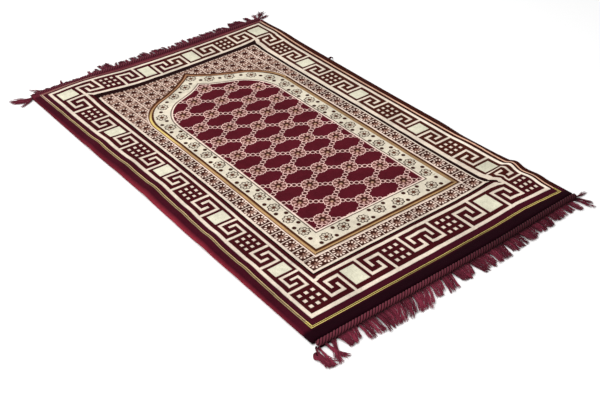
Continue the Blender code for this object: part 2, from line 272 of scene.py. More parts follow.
# x, then y of the far lines: dark band's near edge, band's inner edge, rows' inner and outer ends, outer edge
FAR_LINES = (
    (0, 936, 955, 973, 1024, 1034), (60, 938, 955, 971, 1031, 1040.5), (100, 936.6, 951, 960, 1032, 1041.5),
    (140, 931, 945.5, 955, 1028, 1038), (200, 926.5, 941.5, 951.3, 1018.5, 1028.7),
    (314, 927.5, 942.5, 952, 1017, 1026.5),
    (450, 932.5, 946.5, 956, 1019, 1027.5), (560, 935, 950, 959.5, 1024.5, 1033),
    (600, 938, 952, 962, 1027, 1036), (636, 938, 952, 962, 1028, 1037.5),
)
FAR_SKEW = 0.045         # how far the far band leans out at its right end, in mm for each mm along
END_LINES = (-15.0, 9.7)  # how far past the outer edges of the two ends the gold lines lie
SIDE_LINES = (10.0, 9.5)  # how far past an end's border the outer edges of the long sides lie
FIELD_PLACES = (217.0, 780.0)
FIELD_MARKS = (216.0, 780.0)


def design(x, y):
    """Design coordinates of points x, y in mm of the laid pattern."""
    table = np.array(LAY_ACROSS)
    held = np.clip(y, table[0, 0], table[-1, 0])
    middle = spread(x, [np.interp(held, table[:, 0], places) for places in table[:, 1:].T], ACROSS_LINES)

    def across_end(at, stops, places, left, right):
        """p along an end's border."""
        marks = [(stop - 40.5) * UNIT for stop in stops]
        marks[0] = -300.0
        marks[-1] = 300.0
        places = [left, places[0] - SIDE_LINES[0], *places, places[-1] + SIDE_LINES[1], right]
        return spread(at, places, [ACROSS_LINES[0], -HALF_ACROSS, *marks, HALF_ACROSS, ACROSS_LINES[-1]])

    near = across_end(x, END_STOPS_NEAR, NEAR_STOPS, -13.5, 642.0)
    skewed = x - FAR_SKEW * (np.clip(y, 936.0, 1040.0) - 990.0) * (x / 636.0)
    far = across_end(skewed, END_STOPS_FAR, FAR_STOPS, -14.5, 646.5)
    near_y, far_y = (
        [np.interp(x, lines[0], places) for places in lines[1:]]
        for lines in (np.array(NEAR_LINES).T, np.array(FAR_LINES).T)
    )
    p = blend(middle, near, (near_y[3] + 8.0 - y) / 6.0, far, (y - far_y[0] - 3.0) / 6.0)

    def lengthwise(marks, places):
        """q, where both ends' outer lines are added to a column's own marks and places."""
        places = [near_y[0] + END_LINES[0], *near_y[:2], *places, *far_y[3:], far_y[4] + END_LINES[1]]
        marks = [-GOLD_OUT, 0.0, OUTER_LINE, *marks, ALONG - OUTER_LINE, ALONG, ALONG + GOLD_OUT]
        return spread(y, places, marks)

    field_marks = (NEAR_ROWS, NEAR_LINE, *FIELD_MARKS, TILE_TOP, FAR_LINE, FAR_ROWS)
    middle = lengthwise(field_marks, (*near_y[2:], *FIELD_PLACES, *far_y[:3]))
    side_marks = [NEAR_ROWS + (stop - 8) * SIDE_UNIT for stop in SIDE_STOPS]
    left, right = (lengthwise(side_marks, places) for places in (LEFT_STOPS, RIGHT_STOPS))
    return p, blend(middle, left, (-p - 231.0) / 8.0, right, (p - 231.0) / 8.0)


def blend(middle, one, one_share, two, two_share):
    """middle with one and two laid over it by their shares, which are held between 0 and 1."""
    one_share = np.clip(one_share, 0, 1)
    two_share = np.clip(two_share, 0, 1)
    return middle * (1 - one_share - two_share) + one * one_share + two * two_share


def spread(x, places, marks):
    """x as placed among places, read off among marks, straight between them and beyond."""
    out = marks[0] + (x - places[0])
    for k in range(len(marks) - 1):
        share = (x - places[k]) / (places[k + 1] - places[k])
        out = np.where(x >= places[k], marks[k] + (marks[k + 1] - marks[k]) * share, out)
    return np.where(x >= places[-1], marks[-1] + (x - places[-1]), out)


# ---------------------------------------------------------------- material nodes

class Value:
    """A node's output, which can be added, subtracted, multiplied and divided as a number can."""

    def __init__(self, tree, socket):
        self.tree = tree
        self.socket = socket

    def __add__(self, other):
        return put("ADD", self, other)

    def __sub__(self, other):
        return put("SUBTRACT", self, other)

    def __rsub__(self, other):
        return put("SUBTRACT", other, self)

    def __mul__(self, other):
        return put("MULTIPLY", self, other)

    def __truediv__(self, other):
        return put("DIVIDE", self, other)

    __radd__ = __add__
    __rmul__ = __mul__


def feed(tree, place, value):
    """Links a value to a socket, or sets it there."""
    if isinstance(value, Value):
        tree.links.new(value.socket, place)
    elif isinstance(value, (tuple, list)):
        place.default_value = (*value, 1.0) if len(value) == 3 and place.type == "RGBA" else value
    else:
        place.default_value = value


def add_node(tree, kind, inputs, output=0, **settings):
    """The output of a new node. inputs maps each socket's name or number to its value."""
    node = tree.nodes.new("ShaderNode" + kind)
    for setting, value in settings.items():
        setattr(node, setting, value)
    for place, value in inputs.items():
        feed(tree, node.inputs[place], value)
    return Value(tree, node.outputs[output])


def tree_of(*values):
    """The node tree of the first of the values that has one."""
    return next(value.tree for value in values if isinstance(value, Value))


def put(operation, *inputs, clamp=False):
    """A Math node over the inputs."""
    return add_node(tree_of(*inputs), "Math", dict(enumerate(inputs)), operation=operation, use_clamp=clamp)


fabs, sign, sin, cos = (partial(put, name) for name in ("ABSOLUTE", "SIGN", "SINE", "COSINE"))
lesser, greater = (partial(put, name) for name in ("MINIMUM", "MAXIMUM"))
mod, snap, arctan2 = (partial(put, name) for name in ("FLOORED_MODULO", "SNAP", "ARCTAN2"))


def ramp(x, slope, start):
    """slope * x + start, held between 0 and 1."""
    return put("MULTIPLY_ADD", x, slope, start, clamp=True)


def step(x):
    return put("GREATER_THAN", x, 0.0)


def length(x, y):
    return put("SQRT", put("MULTIPLY_ADD", x, x, y * y))


def layer(base, colour, mask):
    """colour laid on base where mask is 1."""
    tree = tree_of(mask, base, colour)
    return add_node(tree, "Mix", {0: mask, 6: base, 7: colour}, 2, data_type="RGBA", clamp_factor=True)


def times(colour, factor):
    """A colour made lighter or darker by a factor that varies."""
    return add_node(factor.tree, "VectorMath", {0: colour, 3: factor}, operation="SCALE")


def linear(red, green, blue):
    """A colour that is given from 0 to 255 as seen on a screen, as light."""
    shares = [part / 255 for part in (red, green, blue)]
    return tuple(share / 12.92 if share <= 0.04045 else ((share + 0.055) / 1.055) ** 2.4 for share in shares)


def coordinates(tree, uv_map):
    """A UV map's two coordinates, and its vector."""
    place = add_node(tree, "UVMap", {}, uv_map=uv_map)
    return add_node(tree, "SeparateXYZ", {0: place}), add_node(tree, "SeparateXYZ", {0: place}, 1), place


def noise(tree, vector, scale, detail=2.0):
    """Noise about 0.5, at so many features to a unit of the vector."""
    return add_node(tree, "TexNoise", {"Vector": vector, "Scale": scale, "Detail": detail})


def relief(tree, height, distance, strength):
    """A bump of distance in metres over the height value's 0 to 1."""
    return add_node(tree, "Bump", {"Strength": strength, "Distance": distance, "Height": height})


def new_material(name, sheen=None):
    """An empty node material with its principled shader. sheen is its weight and roughness."""
    material = bpy.data.materials.new(name)
    material.use_nodes = True
    shader = material.node_tree.nodes["Principled BSDF"]
    shader.inputs["Metallic"].default_value = 0.0
    shader.inputs["Specular IOR Level"].default_value = 0.03
    if sheen:
        shader.inputs["Sheen Weight"].default_value, shader.inputs["Sheen Roughness"].default_value = sheen
    return material, material.node_tree, shader


def dress(shader, colour, roughness, bump):
    """Feeds a shader's colour and roughness, and its bump of height, distance and strength."""
    tree = tree_of(colour)
    feed(tree, shader.inputs["Base Color"], colour)
    feed(tree, shader.inputs["Roughness"], roughness)
    feed(tree, shader.inputs["Normal"], relief(tree, *bump))


# ---------------------------------------------------------------- pattern (design coordinates in mm)

FRET_EDGE = 0.14          # softness of the fret's edges, in squares
FRET_BARS = (             # each bar's start and end across the fret, then over its rows
    (0, 1, -1.2, 6), (0, 5, 5, 6), (4, 5, 3, 6), (2, 7, 1, 2), (2, 3, 1, 4), (6, 7, 1, 8.2),
)
SPOT_PITCH = 1.95
OUTER_MIDDLE = 4.2        # the outer cream line's middle lies this far inside the border's edge
OUTER_HALF = 3.75
RIGHT_WIDER = 3.8         # how much wider the inner cream line is on the right
RIGHT_SHIFT = 1.9         # how far the tiles lie further out on the right
ARCH_STARTS = 740.0       # the frame's straight sides end here
FLOWERS_FROM = 206.0
FLOWERS_AT = 166.0        # the middle of the cream band's sides
# Flowers and leaves over the arch: the first one's place, then from which level of a on the next one
# shows, and how far it lies further across and along
TOP_FLOWERS = ((0.0, 882.0), ((18.0, 36.5, -30.0), (60.0, 46.5, -21.5), (107.0, 48.0, -28.5)))
TOP_LEAVES = ((15.5, 860.0), ((37.0, 44.0, -21.5), (84.0, 50.5, -21.0), (130.0, 37.0, -33.5)))


def band(x, low, high, edge=EDGE):
    """1 between low and high, with soft edges."""
    return ramp(fabs(x - (low + high) / 2), -1.0 / edge, (high - low) / 2 / edge + 0.5)


def above(x, level, edge=EDGE):
    """1 where x is greater than level, with a soft edge."""
    return ramp(x, 1.0 / edge, 0.5 - level / edge)


def below(x, level, edge=EDGE):
    """1 where x is less than level, with a soft edge."""
    return ramp(x, -1.0 / edge, 0.5 + level / edge)


def rise(x, start, reach):
    """0 at start and 1 from start + reach on, which lies before start where reach is negative."""
    return ramp(x, 1.0 / reach, -start / reach)


def pick(chosen, one, other):
    """one where chosen is 1, other where it is 0."""
    return other + chosen * (one - other)


def wrap(x, pitch):
    """x measured from the nearest multiple of pitch."""
    return mod(x + pitch / 2, pitch) - pitch / 2


def paint(base, *coats):
    """base with coats laid on in turn, each a tint or its name and the mask where it shows."""
    base = TINTS[base] if isinstance(base, str) else base
    for tint, mask in coats:
        base = layer(base, TINTS[tint] if isinstance(tint, str) else tint, mask)
    return base


def stroke(x, x0, x1, y, y0, y1):
    """One bar of the fret, a little slimmer than the unit squares it fills."""
    return lesser(band(x, x0 + TRIM, x1 - TRIM, FRET_EDGE), band(y, y0 + TRIM, y1 - TRIM, FRET_EDGE))


def key_border(a, q):
    """The cream of the key border, and its large squares alone. Frets, checkers and squares have 7 rows."""
    near = step(NEAR_ROWS - q)
    far = step(q - FAR_ROWS)
    row = pick(near, (NEAR_ROWS - q) / END_ROW, pick(far, (q - FAR_ROWS) / END_ROW, (a - SIDE_ROWS) / SIDE_ROW))
    across = a / UNIT
    along = pick(near, across + 7.5, pick(far, across + 21.5, (q - NEAR_ROWS) / SIDE_UNIT + 20.0))
    t = mod(along, 27.0)
    corner = far * step(a - SIDE_ROWS)
    square = greater(step(6.0 - t), corner)
    checker = step(t - 13.0) * step(20.0 - t)
    fret = (1.0 - square) * (1.0 - checker)
    column = 7.0 - mod(t - 6.0, 7.0)
    bars = reduce(greater, (stroke(column, x0, x1, row, y0, y1) for x0, x1, y0, y1 in FRET_BARS))
    spots = 1.0
    for off, half in ((column - 3.5, 0.46), (row - 3.5, 0.42)):
        spot = below(fabs(wrap(off, SPOT_PITCH)), half, FRET_EDGE)
        spots = lesser(lesser(spot, below(fabs(off), 2.73, FRET_EDGE)), spots)
    wide = below(fabs(t - (3.0 + 0.5 * corner)), 2.15 + 0.4 * corner, FRET_EDGE)
    squares = lesser(wide, below(fabs(row - 3.45), 2.55, FRET_EDGE)) * square
    return greater(greater(bars * fret, spots * checker), squares), squares


def arch_depth(a, q, curve):
    """How far inside the sides and top of an arch-topped outline a point lies, in mm.

    curve holds the shoulder's middle and radius, the direction in which the shoulder meets the ogee, and
    the ogee's radius.
    """
    cx, cy, r1, nx, ny, r2 = curve
    reach = r1 + r2
    shoulder = r1 - length(a - cx, q - cy)
    ogee = length(a - (cx + nx * reach), q - (cy + ny * reach)) - r2
    inward = step((q - cy) * nx - (a - cx) * ny)
    return pick(step(q - cy), pick(inward, ogee, shoulder), (cx + r1) - a)


def borders(p, q, a, right):
    """The dark margins with their gold ladder, and the key border."""
    left = 1.0 - right
    near_side = step(0.0 - q)
    far_side = step(q - ALONG)
    off_near = right * (1.0 - near_side)
    # Painted highlight: the left side's margin is painted lighter towards its rim, as the velvet pile's sheen where
    # the light grazes it.
    sheen_lit_rim = rise(a, 338.5, 11.0) * rise(q, -38.5, 110.0) * (1.0 - rise(q, 400.0, 250.0) * 0.45)

    # The ladder is two gold rails with rungs. On the right side it is one plain stripe.
    side_at = a - HALF_ACROSS
    near_at = 0.0 - q - 2.3
    far_at = q - ALONG + 2.0
    near_rail = step(near_at - side_at)
    far_rail = far_side * step(far_at - side_at)
    gold_at = (greater(greater(side_at, near_at), far_at) - GOLD_OUT) * (1.0 + 0.25 * near_rail)
    rung = below(fabs(wrap(p + q, 4.4)), 0.9, 0.8)
    outer_share = 1.0 - near_side * (1.0 - rise(a, 90.0, 150.0)) * 0.7
    rails = greater(band(gold_at, -2.8, -1.4, 0.7), band(gold_at, 1.5, 2.7, 0.7) * outer_share)
    rungs = rung * band(gold_at, -1.6, 1.6, 0.7) * (0.5 - 0.4 * near_rail)
    striped = off_near * (1.0 - far_side)
    ladder = greater(rails, rungs) * (1.0 - far_rail * (0.55 + 0.3 * step(p + 180.0))) * (1.0 - striped)
    stripe = striped * band(gold_at, -2.4, 2.4) * (0.98 - 0.22 * rise(q, 420.0, 120.0))
    gold = paint("left_gold", ("gold", near_side), ("link", rise(q, 940.0, 60.0) * 0.5), ("right_gold", striped))

    outside = greater(side_at, greater(0.0 - q, q - ALONG))
    inside = below(outside, 0.0)
    ends = greater(NEAR_ROWS - q, q - FAR_ROWS)
    core = greater(a - SIDE_ROWS, ends)
    in_rows = above(core, 0.0)
    keys, squares = key_border(a, q)
    outer_line = below(fabs(outside + OUTER_MIDDLE), OUTER_HALF)
    wider = RIGHT_WIDER * right
    inner_line = band(core, 1.0 - INNER_LINE - wider * step(a - SIDE_ROWS - ends), -0.3)
    cream = greater(greater(outer_line, keys * step(0.0 - outside)) * in_rows, inner_line)
    bright = right * step(side_at + q) * outer_line * (1.0 - rise(q, 330.0, 200.0))
    ground = paint("border", ("frame", right * rise(q, 60.0, 60.0) * 0.45))
    # Inside the inner line a dark band: near-black, partly its own dark line and partly painted shade, which hides its
    # maroon on the right and far sides; the maroon stays on the left side and at the near end.
    within = below(greater(a - SIDE_LINE + wider, greater(NEAR_LINE - q, q - FAR_LINE)), 0.0)
    maroon = greater(
        left * band(a, SIDE_LINE - 7.0, SIDE_LINE) * above(q, NEAR_LINE),
        band(q, NEAR_LINE, NEAR_LINE + 3.8) * above(SIDE_LINE - a, 0.0),
    )
    return paint(
        "margin",
        ("right_margin", off_near),
        ("lit_side_margin", left * sheen_lit_rim),
        # Painted shade: the margin turns near-black towards the near end, where the pile rolls over its edge.
        ("shaded_near_margin", rise(q, -13.0, -9.0)),
        ("far_margin", rise(q, 1030.0, 8.0)),
        ("black", below(fabs(gold_at), 3.8) * (1.0 - far_rail) * 0.8),
        (gold, greater(ladder, stripe)),
        (ground, step(0.0 - outside)),
        ("edge", lesser(cream, inside)),
        ("bright_edge", bright),
        ("cream", squares * in_rows * below(outside, -OUTER_LINE)),
        ("black", within),
        ("border", maroon * within),
    )


def stairs(a, start, flight):
    """A place that moves across and along by a stair's steps where a has passed each one's level."""
    across, along = start
    for level, over, up in flight:
        past = step(a - level)
        across = across + past * over
        along = along + past * up
    return across, along


def leaf(x, y):
    """A small dark leaf-like dot."""
    return below(length(x, y * 0.94), 4.6)


def turning(x, pitch):
    """1 and -1 in turn, from one multiple of pitch to the next."""
    return 1.0 - 2.0 * step(mod(x, 2 * pitch) - pitch)


def tile(x, y, r, angle, q, side, bottom):
    """A round flower of ten petals in a pale frame. In the spandrel it has spots and no crossbars."""
    tall = step(q - 745.0)
    shut = 1.0 - tall
    ten = cos(angle * 10.0)
    heart_y = y - 3.2
    cell_x = fabs(x) - pick(side, (TILE_OUT - TILE_IN) / 2, TILE_ACROSS / 2)
    cell_y = fabs(y) - pick(bottom, (TILE_ROW_TOP - TILE_FOOT) / 2, TILE_ALONG / 2)
    spots = below(length(fabs(cell_x) - 4.6, fabs(cell_y) - 4.8), 2.2 + step(0.0 - x * y))
    return paint(
        "dark",
        ("stone", tall),
        ("disc", below(r, 13.0)),
        ("petal", lesser(band(r, 8.0, 12.9), above(ten, 0.20, 0.6))),
        ("dark", lesser(band(r, 5.0, 13.6), below(ten, -0.35, 0.5)) * pick(tall, 0.85, 0.95)),
        ("dark", below(length(x * 0.95, heart_y), 6.0 + tall * 0.4)),
        ("taupe", below(length(x + 1.2, heart_y + 3.0), 1.8) * shut),
        ("dark", spots * tall),
        ("petal", greater(above(cell_x, -0.9), above(cell_y, -0.9) * shut)),
    )


def frame_lines(colour, q, right, frame, at_foot):
    """The arch's frame: brown, tan and dark lines, in turned order on the right. Over the arch it darkens."""
    arched = rise(q, 770.0, 50.0)
    straight = right * step(ARCH_STARTS - q) * (1.0 - at_foot)
    turned = pick(straight, FRAME_WIDE - frame, frame)
    low = 2.4 + at_foot * 2.3 + arched * 3.4 - straight * 2.4
    high = 7.4 + at_foot * 0.3 + arched * 2.4
    bright = paint(
        "tan",
        ("right_tan", straight),
        # Painted highlight: the left straight line is painted gold where the light catches it.
        ("gold", (1.0 - right) * band(q, 650.0, 800.0, 60.0) * 0.6),
        ("arch_tan", arched),
    )
    return paint(
        colour,
        ("frame", band(frame, 0.0, FRAME_WIDE)),
        ("brown", band(turned, 0.0, 2.3) * (1.0 - straight) * (1.0 - arched)),
        (bright, lesser(above(turned, low), below(turned, high))),
        ("edge", band(turned, -0.2, 2.0) * at_foot * 0.7),
        ("petal", band(frame, -2.2, 0.0) * (1.0 - arched)),
    )


def bloom(p, q, a, r, eight, on_foot):
    """The cream band: outlined flowers of eight petals, with leaves between them."""
    rim = 11.7 + eight * 1.2
    off = a - FLOWERS_AT
    gap = wrap(q - FLOWERS_FROM - FLOWER_ALONG / 2, FLOWER_ALONG)
    side_leaf = leaf(fabs(off) - 9.0, gap + turning(q - FLOWERS_FROM, FLOWER_ALONG) * 5.0 * sign(off))
    foot_gap = wrap(a - FLOWER_ACROSS / 2, FLOWER_ACROSS) + turning(a, FLOWER_ACROSS) * 4.5 * sign(q - 170.0)
    foot_leaf = leaf(foot_gap, fabs(q - 167.5) - 12.0)
    across, along = stairs(a, *TOP_LEAVES)
    low_leaf = pick(on_foot, foot_leaf, side_leaf * step(745.0 - q))
    return paint(
        "ivory",
        ("taupe", lesser(below(r, rim), above(r, 6.0)) * 0.16),
        ("ink", below(fabs(r - rim), 1.3, 0.9)),
        ("ink", lesser(band(r, 3.2, 10.8), below(eight, -0.70, 0.4))),
        ("ink", below(fabs(r - 4.4), 0.7, 0.9) * 0.9),
        ("brown", below(r, 4.0)),
        ("dark", below(r, 2.2)),
        ("dark", pick(step(q - 762.0), leaf(a - across, q - along), low_leaf)),
    )


def lattice_cell(x, y, r, eight, f1, f2):
    """The field: rosettes on a diagonal lattice of chains. f1 and f2 run along its two diagonals."""
    one = fabs(f1)
    two = fabs(f2)
    near = lesser(one, two)
    along = greater(one, two) * 66.6 + sign(f1 * f2) * near * 24.3
    aside = near * 62.0
    link = length(wrap(along - 33.3, 11.7) * 0.92, aside * 0.90)
    chain = below(aside, 6.8) * above(r, 17.0)
    lobes = 19.0 + (eight * eight - 0.5) * 1.5
    return paint(
        "field",
        ("dark", chain * below(link, 4.6) * 0.60),
        ("link", chain * band(link, 4.2, 5.5, 0.7)),
        ("umber", below(r, lobes)),
        ("dark", band(r, 15.4, lobes - 1.6) * 0.40),
        ("link", below(fabs(r - lobes + 0.8), 0.95, 0.8)),
        ("link", lesser(band(r, 8.6, 15.2), above(eight, 0.30, 0.6)) * 0.55),
        ("dark", lesser(band(r, 6.5, 15.6), below(eight, -0.45, 0.5)) * 0.80),
        ("dark", below(length(x - 0.9, y - 1.0), 7.4)),
        ("heart", below(length(x + 1.3, y + 1.6), 3.4)),
    )


def rug_colour(p, q):
    """The rug's colour at design point p, q."""
    a = fabs(p)
    right = step(p)
    frame_side = arch_depth(a, q, OUTER_ARCH)
    frame_foot = (q - FRAME_FOOT) * 0.79
    frame = lesser(frame_side, frame_foot)
    at_foot = step(frame_side - frame_foot)
    field = lesser(arch_depth(a, q, INNER_ARCH), q - FIELD_FOOT)

    # Tiles and spandrel share one grid, which slips a little along the rug.
    tiled = greater(a - TILE_OUT - RIGHT_SHIFT * right, greater(TILE_FOOT - q, q - TILE_TOP))
    bottom = step(TILE_ROW_TOP - q)
    on_side = step(a - TILE_IN)
    slip = 2.0 + greater(q - 465.0, 0.0) * 0.0129 + greater(q - 780.0, 0.0) * 0.041
    slip = slip + (p + 210.0) * (0.0083 + greater(q - 430.0, 0.0) * 0.0000155)
    side_x = a - (TILE_IN + TILE_OUT) / 2 - RIGHT_SHIFT * right
    tile_x = pick(on_side, side_x, wrap(p + 1.8 - 3.6 * step(q - 700.0), TILE_ACROSS))
    grid_y = wrap(q + slip - TILE_SIDE_FOOT - TILE_ALONG / 2, TILE_ALONG)
    tile_y = pick(bottom, q - (TILE_FOOT + TILE_ROW_TOP) / 2, grid_y)

    # Flowers of the cream band: at its foot, at its sides and over the arch
    on_foot = step(FLOWER_FOOT + 20.0 - q)
    on_top = step(q - 784.0)
    odd = step(FLOWER_ACROSS / 2 - fabs(wrap(a - FLOWER_ACROSS, 2 * FLOWER_ACROSS)))
    across, along = stairs(a, *TOP_FLOWERS)
    foot_x = wrap(p, FLOWER_ACROSS) + 40.0 * step(a - 165.0)
    flower_x = pick(on_top, a - across, pick(on_foot, foot_x, a - FLOWERS_AT + 8.0 * step(q - 736.0)))
    foot_y = q - FLOWER_FOOT + 4.4 * odd
    flower_y = pick(on_top, q - along, pick(on_foot, foot_y, wrap(q - FLOWERS_FROM, FLOWER_ALONG)))

    # Rosettes of the field, on a diagonal lattice
    u = (p + 2.2) / (2 * LATTICE_ACROSS)
    v = (q + 2.3 - LATTICE_FOOT) / (2 * LATTICE_ALONG)
    f1 = wrap(u + v, 1.0)
    f2 = wrap(u - v, 1.0)

    in_field = step(field - FIELD_EDGE)
    in_frame = step(frame)
    x = pick(in_field, (f1 + f2) * LATTICE_ACROSS, pick(in_frame, flower_x, tile_x))
    y = pick(in_field, (f1 - f2) * LATTICE_ALONG, pick(in_frame, flower_y, tile_y))
    r = length(x, y)
    angle = arctan2(y, x)
    eight = cos(angle * 8.0)
    rim_width = TILE_LINE - 2.0 * right * step(q - TILE_FOOT)
    twist = below(fabs(wrap(p + q, 4.2)), 1.2, 0.9)
    colour = paint(
        borders(p, q, a, right),
        (tile(x, y, r, angle, q, on_side * (1.0 - bottom), bottom), below(tiled, 0.0)),
        ("edge", band(tiled, 0.0, rim_width) * step(TILE_TOP - 2.0 - q)),
    )
    return paint(
        frame_lines(colour, q, right, frame, at_foot),
        (bloom(p, q, a, r, eight, on_foot), lesser(above(frame - FRAME_WIDE, 0.0), below(field, 0.0))),
        ("petal", band(field, -0.4, FIELD_EDGE)),
        ("ink", band(field, -0.9, 2.1, 0.8) * (0.70 + 0.30 * twist)),
        (lattice_cell(x, y, r, eight, f1, f2), above(field, FIELD_EDGE)),
    )


# ---------------------------------------------------------------- materials

# Colours from 0 to 255, as seen on a screen
SCREEN_TINTS = {
    "margin": (60, 10, 24),
    # painted highlight of the left margin's rim
    "lit_side_margin": (134, 40, 52),
    "right_margin": (54, 16, 8),
    # painted shade of the margin at the near end
    "shaded_near_margin": (26, 2, 10),
    "far_margin": (92, 28, 42),
    "gold": (242, 218, 128),
    "left_gold": (204, 178, 130),
    "right_gold": (232, 184, 156),
    "cream": (212, 208, 185),
    "edge": (220, 205, 187),
    "bright_edge": (246, 232, 214),
    "border": (60, 10, 16),
    "black": (28, 6, 6),
    "dark": (56, 24, 16),
    "taupe": (160, 118, 100),
    "umber": (136, 86, 78),
    "stone": (150, 118, 104),
    "disc": (156, 120, 106),
    "petal": (236, 214, 198),
    "link": (240, 200, 190),
    "heart": (176, 136, 112),
    "frame": (70, 34, 14),
    "brown": (104, 62, 40),
    "tan": (178, 142, 98),
    "right_tan": (150, 120, 86),
    "arch_tan": (158, 116, 86),
    "ivory": (213, 203, 183),
    "ink": (54, 34, 26),
    "field": (80, 17, 28),
}
TINTS = {name: linear(*screen) for name, screen in SCREEN_TINTS.items()}
KNOT = 1.55              # the size of a pile knot in mm, which sets how finely the pattern can step
STEPPED = 0.6            # how far the pattern follows whole knots
BLUR = 0.5               # how far fibres of one colour stray over another, in mm
WARP_PITCH = 0.0022      # the underside's weave
WEFT_PITCH = 0.0018


def pile_material():
    """Velvety patterned pile, whose pattern steps from knot to knot."""
    material, tree, shader = new_material("printed_pile", (0.015, 0.45))
    shader.inputs["Sheen Tint"].default_value = (1.0, 0.72, 0.74, 1.0)
    flat_x, flat_y, flat = coordinates(tree, "Flat")
    turned = add_node(tree, "CombineXYZ", {0: flat_y, 1: flat_x})
    strays = noise(tree, flat, 900.0, 1.0), noise(tree, turned, 870.0, 1.0)
    place = []
    for metres, stray in zip(coordinates(tree, "Pattern"), strays):
        at = metres * 1000.0
        place.append(pick(STEPPED, snap(at, KNOT) + KNOT / 2, at) + (stray - 0.5) * BLUR)

    # The pile leans a little differently from place to place, painted as lighter and darker patches of shade, and each
    # tuft is painted darker towards its edge as shade between tufts; mottle and grain vary the tone at random.
    swept = noise(tree, flat, 13.0, 3.0)
    tuft = add_node(tree, "TexVoronoi", {"Vector": flat, "Scale": 620.0})
    grain = noise(tree, flat, 330.0)
    mottle = noise(tree, flat, 90.0)
    shade = 1.06 + (swept - 0.5) * 0.72 + (mottle - 0.5) * 0.40 - tuft * 0.26 + (grain - 0.5) * 0.34
    height = (1.0 - tuft) * 0.55 + grain * 0.45 + swept * 0.4
    dress(shader, times(rug_colour(*place), shade), 0.86 + (grain - 0.5) * 0.16, (height, 0.0011, 0.85))
    return material


def backing_material():
    """The woven ground on the rug's underside: plain weave in undyed and maroon yarn."""
    material, tree, shader = new_material("woven_backing")
    x, y, flat = coordinates(tree, "Flat")
    warp = fabs(wrap(x, WARP_PITCH)) / (WARP_PITCH / 2)
    weft = fabs(wrap(y, WEFT_PITCH)) / (WEFT_PITCH / 2)
    top = 1.0 - fabs(step(wrap(x, 2 * WARP_PITCH)) - step(wrap(y, 2 * WEFT_PITCH)))
    height = pick(top, 1.0 - warp * warp, 1.0 - weft * weft)
    slub = noise(tree, flat, 160.0, 3.0)
    worn = noise(tree, flat, 6.0, 3.0)
    # Painted shade: the weave is darker in the hollows between its threads and lighter on their crowns.
    colour = layer(linear(128, 84, 72), linear(176, 150, 128), ramp(height, 1.2, -0.2))
    colour = layer(colour, linear(104, 40, 48), ramp(worn, 2.0, -0.7) * 0.25)
    dress(shader, times(colour, 0.72 + slub * 0.5), 0.80 + slub * 0.15, (height * 0.8 + slub * 0.3, 0.0006, 0.9))
    return material


def yarn_material(name, light, dark, twist, sheen, dim, ribbed=False):
    """Twisted yarn. The map Yarn runs round and along each yarn, in metres, with its own start.

    Growth holds each yarn's own tone and how far a place is from its root, as shares; the yarn is painted darker
    towards its root, as shadow under the cord. dim is how much darker the yarn is painted towards the right end of
    its piece, as shade. A ribbed one has the map Ribs in place of Growth, which counts its ribs in hundreds.
    """
    material, tree, shader = new_material(name, (sheen, 0.4))
    round_it, along, place = coordinates(tree, "Yarn")
    across = coordinates(tree, "OFBake")[0]
    fibre = noise(tree, place, 1500.0)
    # Painted shade: the yarn is darker in the grooves between its twisted plies.
    ply = fabs(wrap(along + round_it * 0.9, twist)) * (2.0 / twist)
    shade = (1.0 - ply) * 0.55 + fibre * 0.45
    colour = layer(linear(*dark), linear(*light), ramp(shade, 1.5, -0.2))
    if ribbed:
        # Painted shade: near-black in the valleys between the cord's ribs.
        valley = 1.0 - fabs(sin(coordinates(tree, "Ribs")[0] * (100.0 * math.pi)))
        colour = layer(colour, linear(26, 6, 10), ramp(valley, 2.2, -0.70))
        strength = 0.80 + noise(tree, place, 60.0) * 0.40
    else:
        own, grown, _ = coordinates(tree, "Growth")
        # Painted shadow: each yarn darkens towards its root, under the cord.
        strength = (0.40 + own * 1.0) * ramp(grown, 3.0, 0.10)
    # Painted shade: darker towards the right end of the piece, by dim.
    strength = strength * (1.0 - ramp(across, 3.4, -1.20) * dim)
    dress(shader, times(colour, strength), 0.66 + fibre * 0.2, (shade, 0.0004, 0.8))
    return material


def floor_material():
    """Matt white paper."""
    material, tree, shader = new_material("studio_floor")
    fine = noise(tree, add_node(tree, "TexCoord", {}, "Object"), 240.0, 3.0)
    feed(tree, shader.inputs["Base Color"], layer((0.90, 0.90, 0.90), (0.93, 0.93, 0.93), fine))
    shader.inputs["Roughness"].default_value = 0.9
    return material


# ---------------------------------------------------------------- the pile cloth

FUZZ = 0.00035           # how uneven the pile is at its edge, and on top over long and over short stretches
SWELL = 0.00030
DIMPLE = 0.00016


def write_map(mesh, name, values):
    """A UV map of one pair for each face corner."""
    mesh.uv_layers.new(name=name).data.foreach_set("uv", np.asarray(values, dtype=np.float32).ravel())


def add_object(name, data):
    """A new object in the scene."""
    made = bpy.data.objects.new(name, data)
    bpy.context.scene.collection.objects.link(made)
    return made


def new_piece(name, points, faces, materials):
    """A smooth mesh object in the scene that rides on the rug's one body."""
    mesh = bpy.data.meshes.new(name)
    mesh.from_pydata([tuple(point) for point in points], [], [tuple(face) for face in faces])
    for material in materials:
        mesh.materials.append(material)
    mesh.update()
    mesh.shade_smooth()
    made = add_object(name, mesh)
    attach(made, "root")
    return made


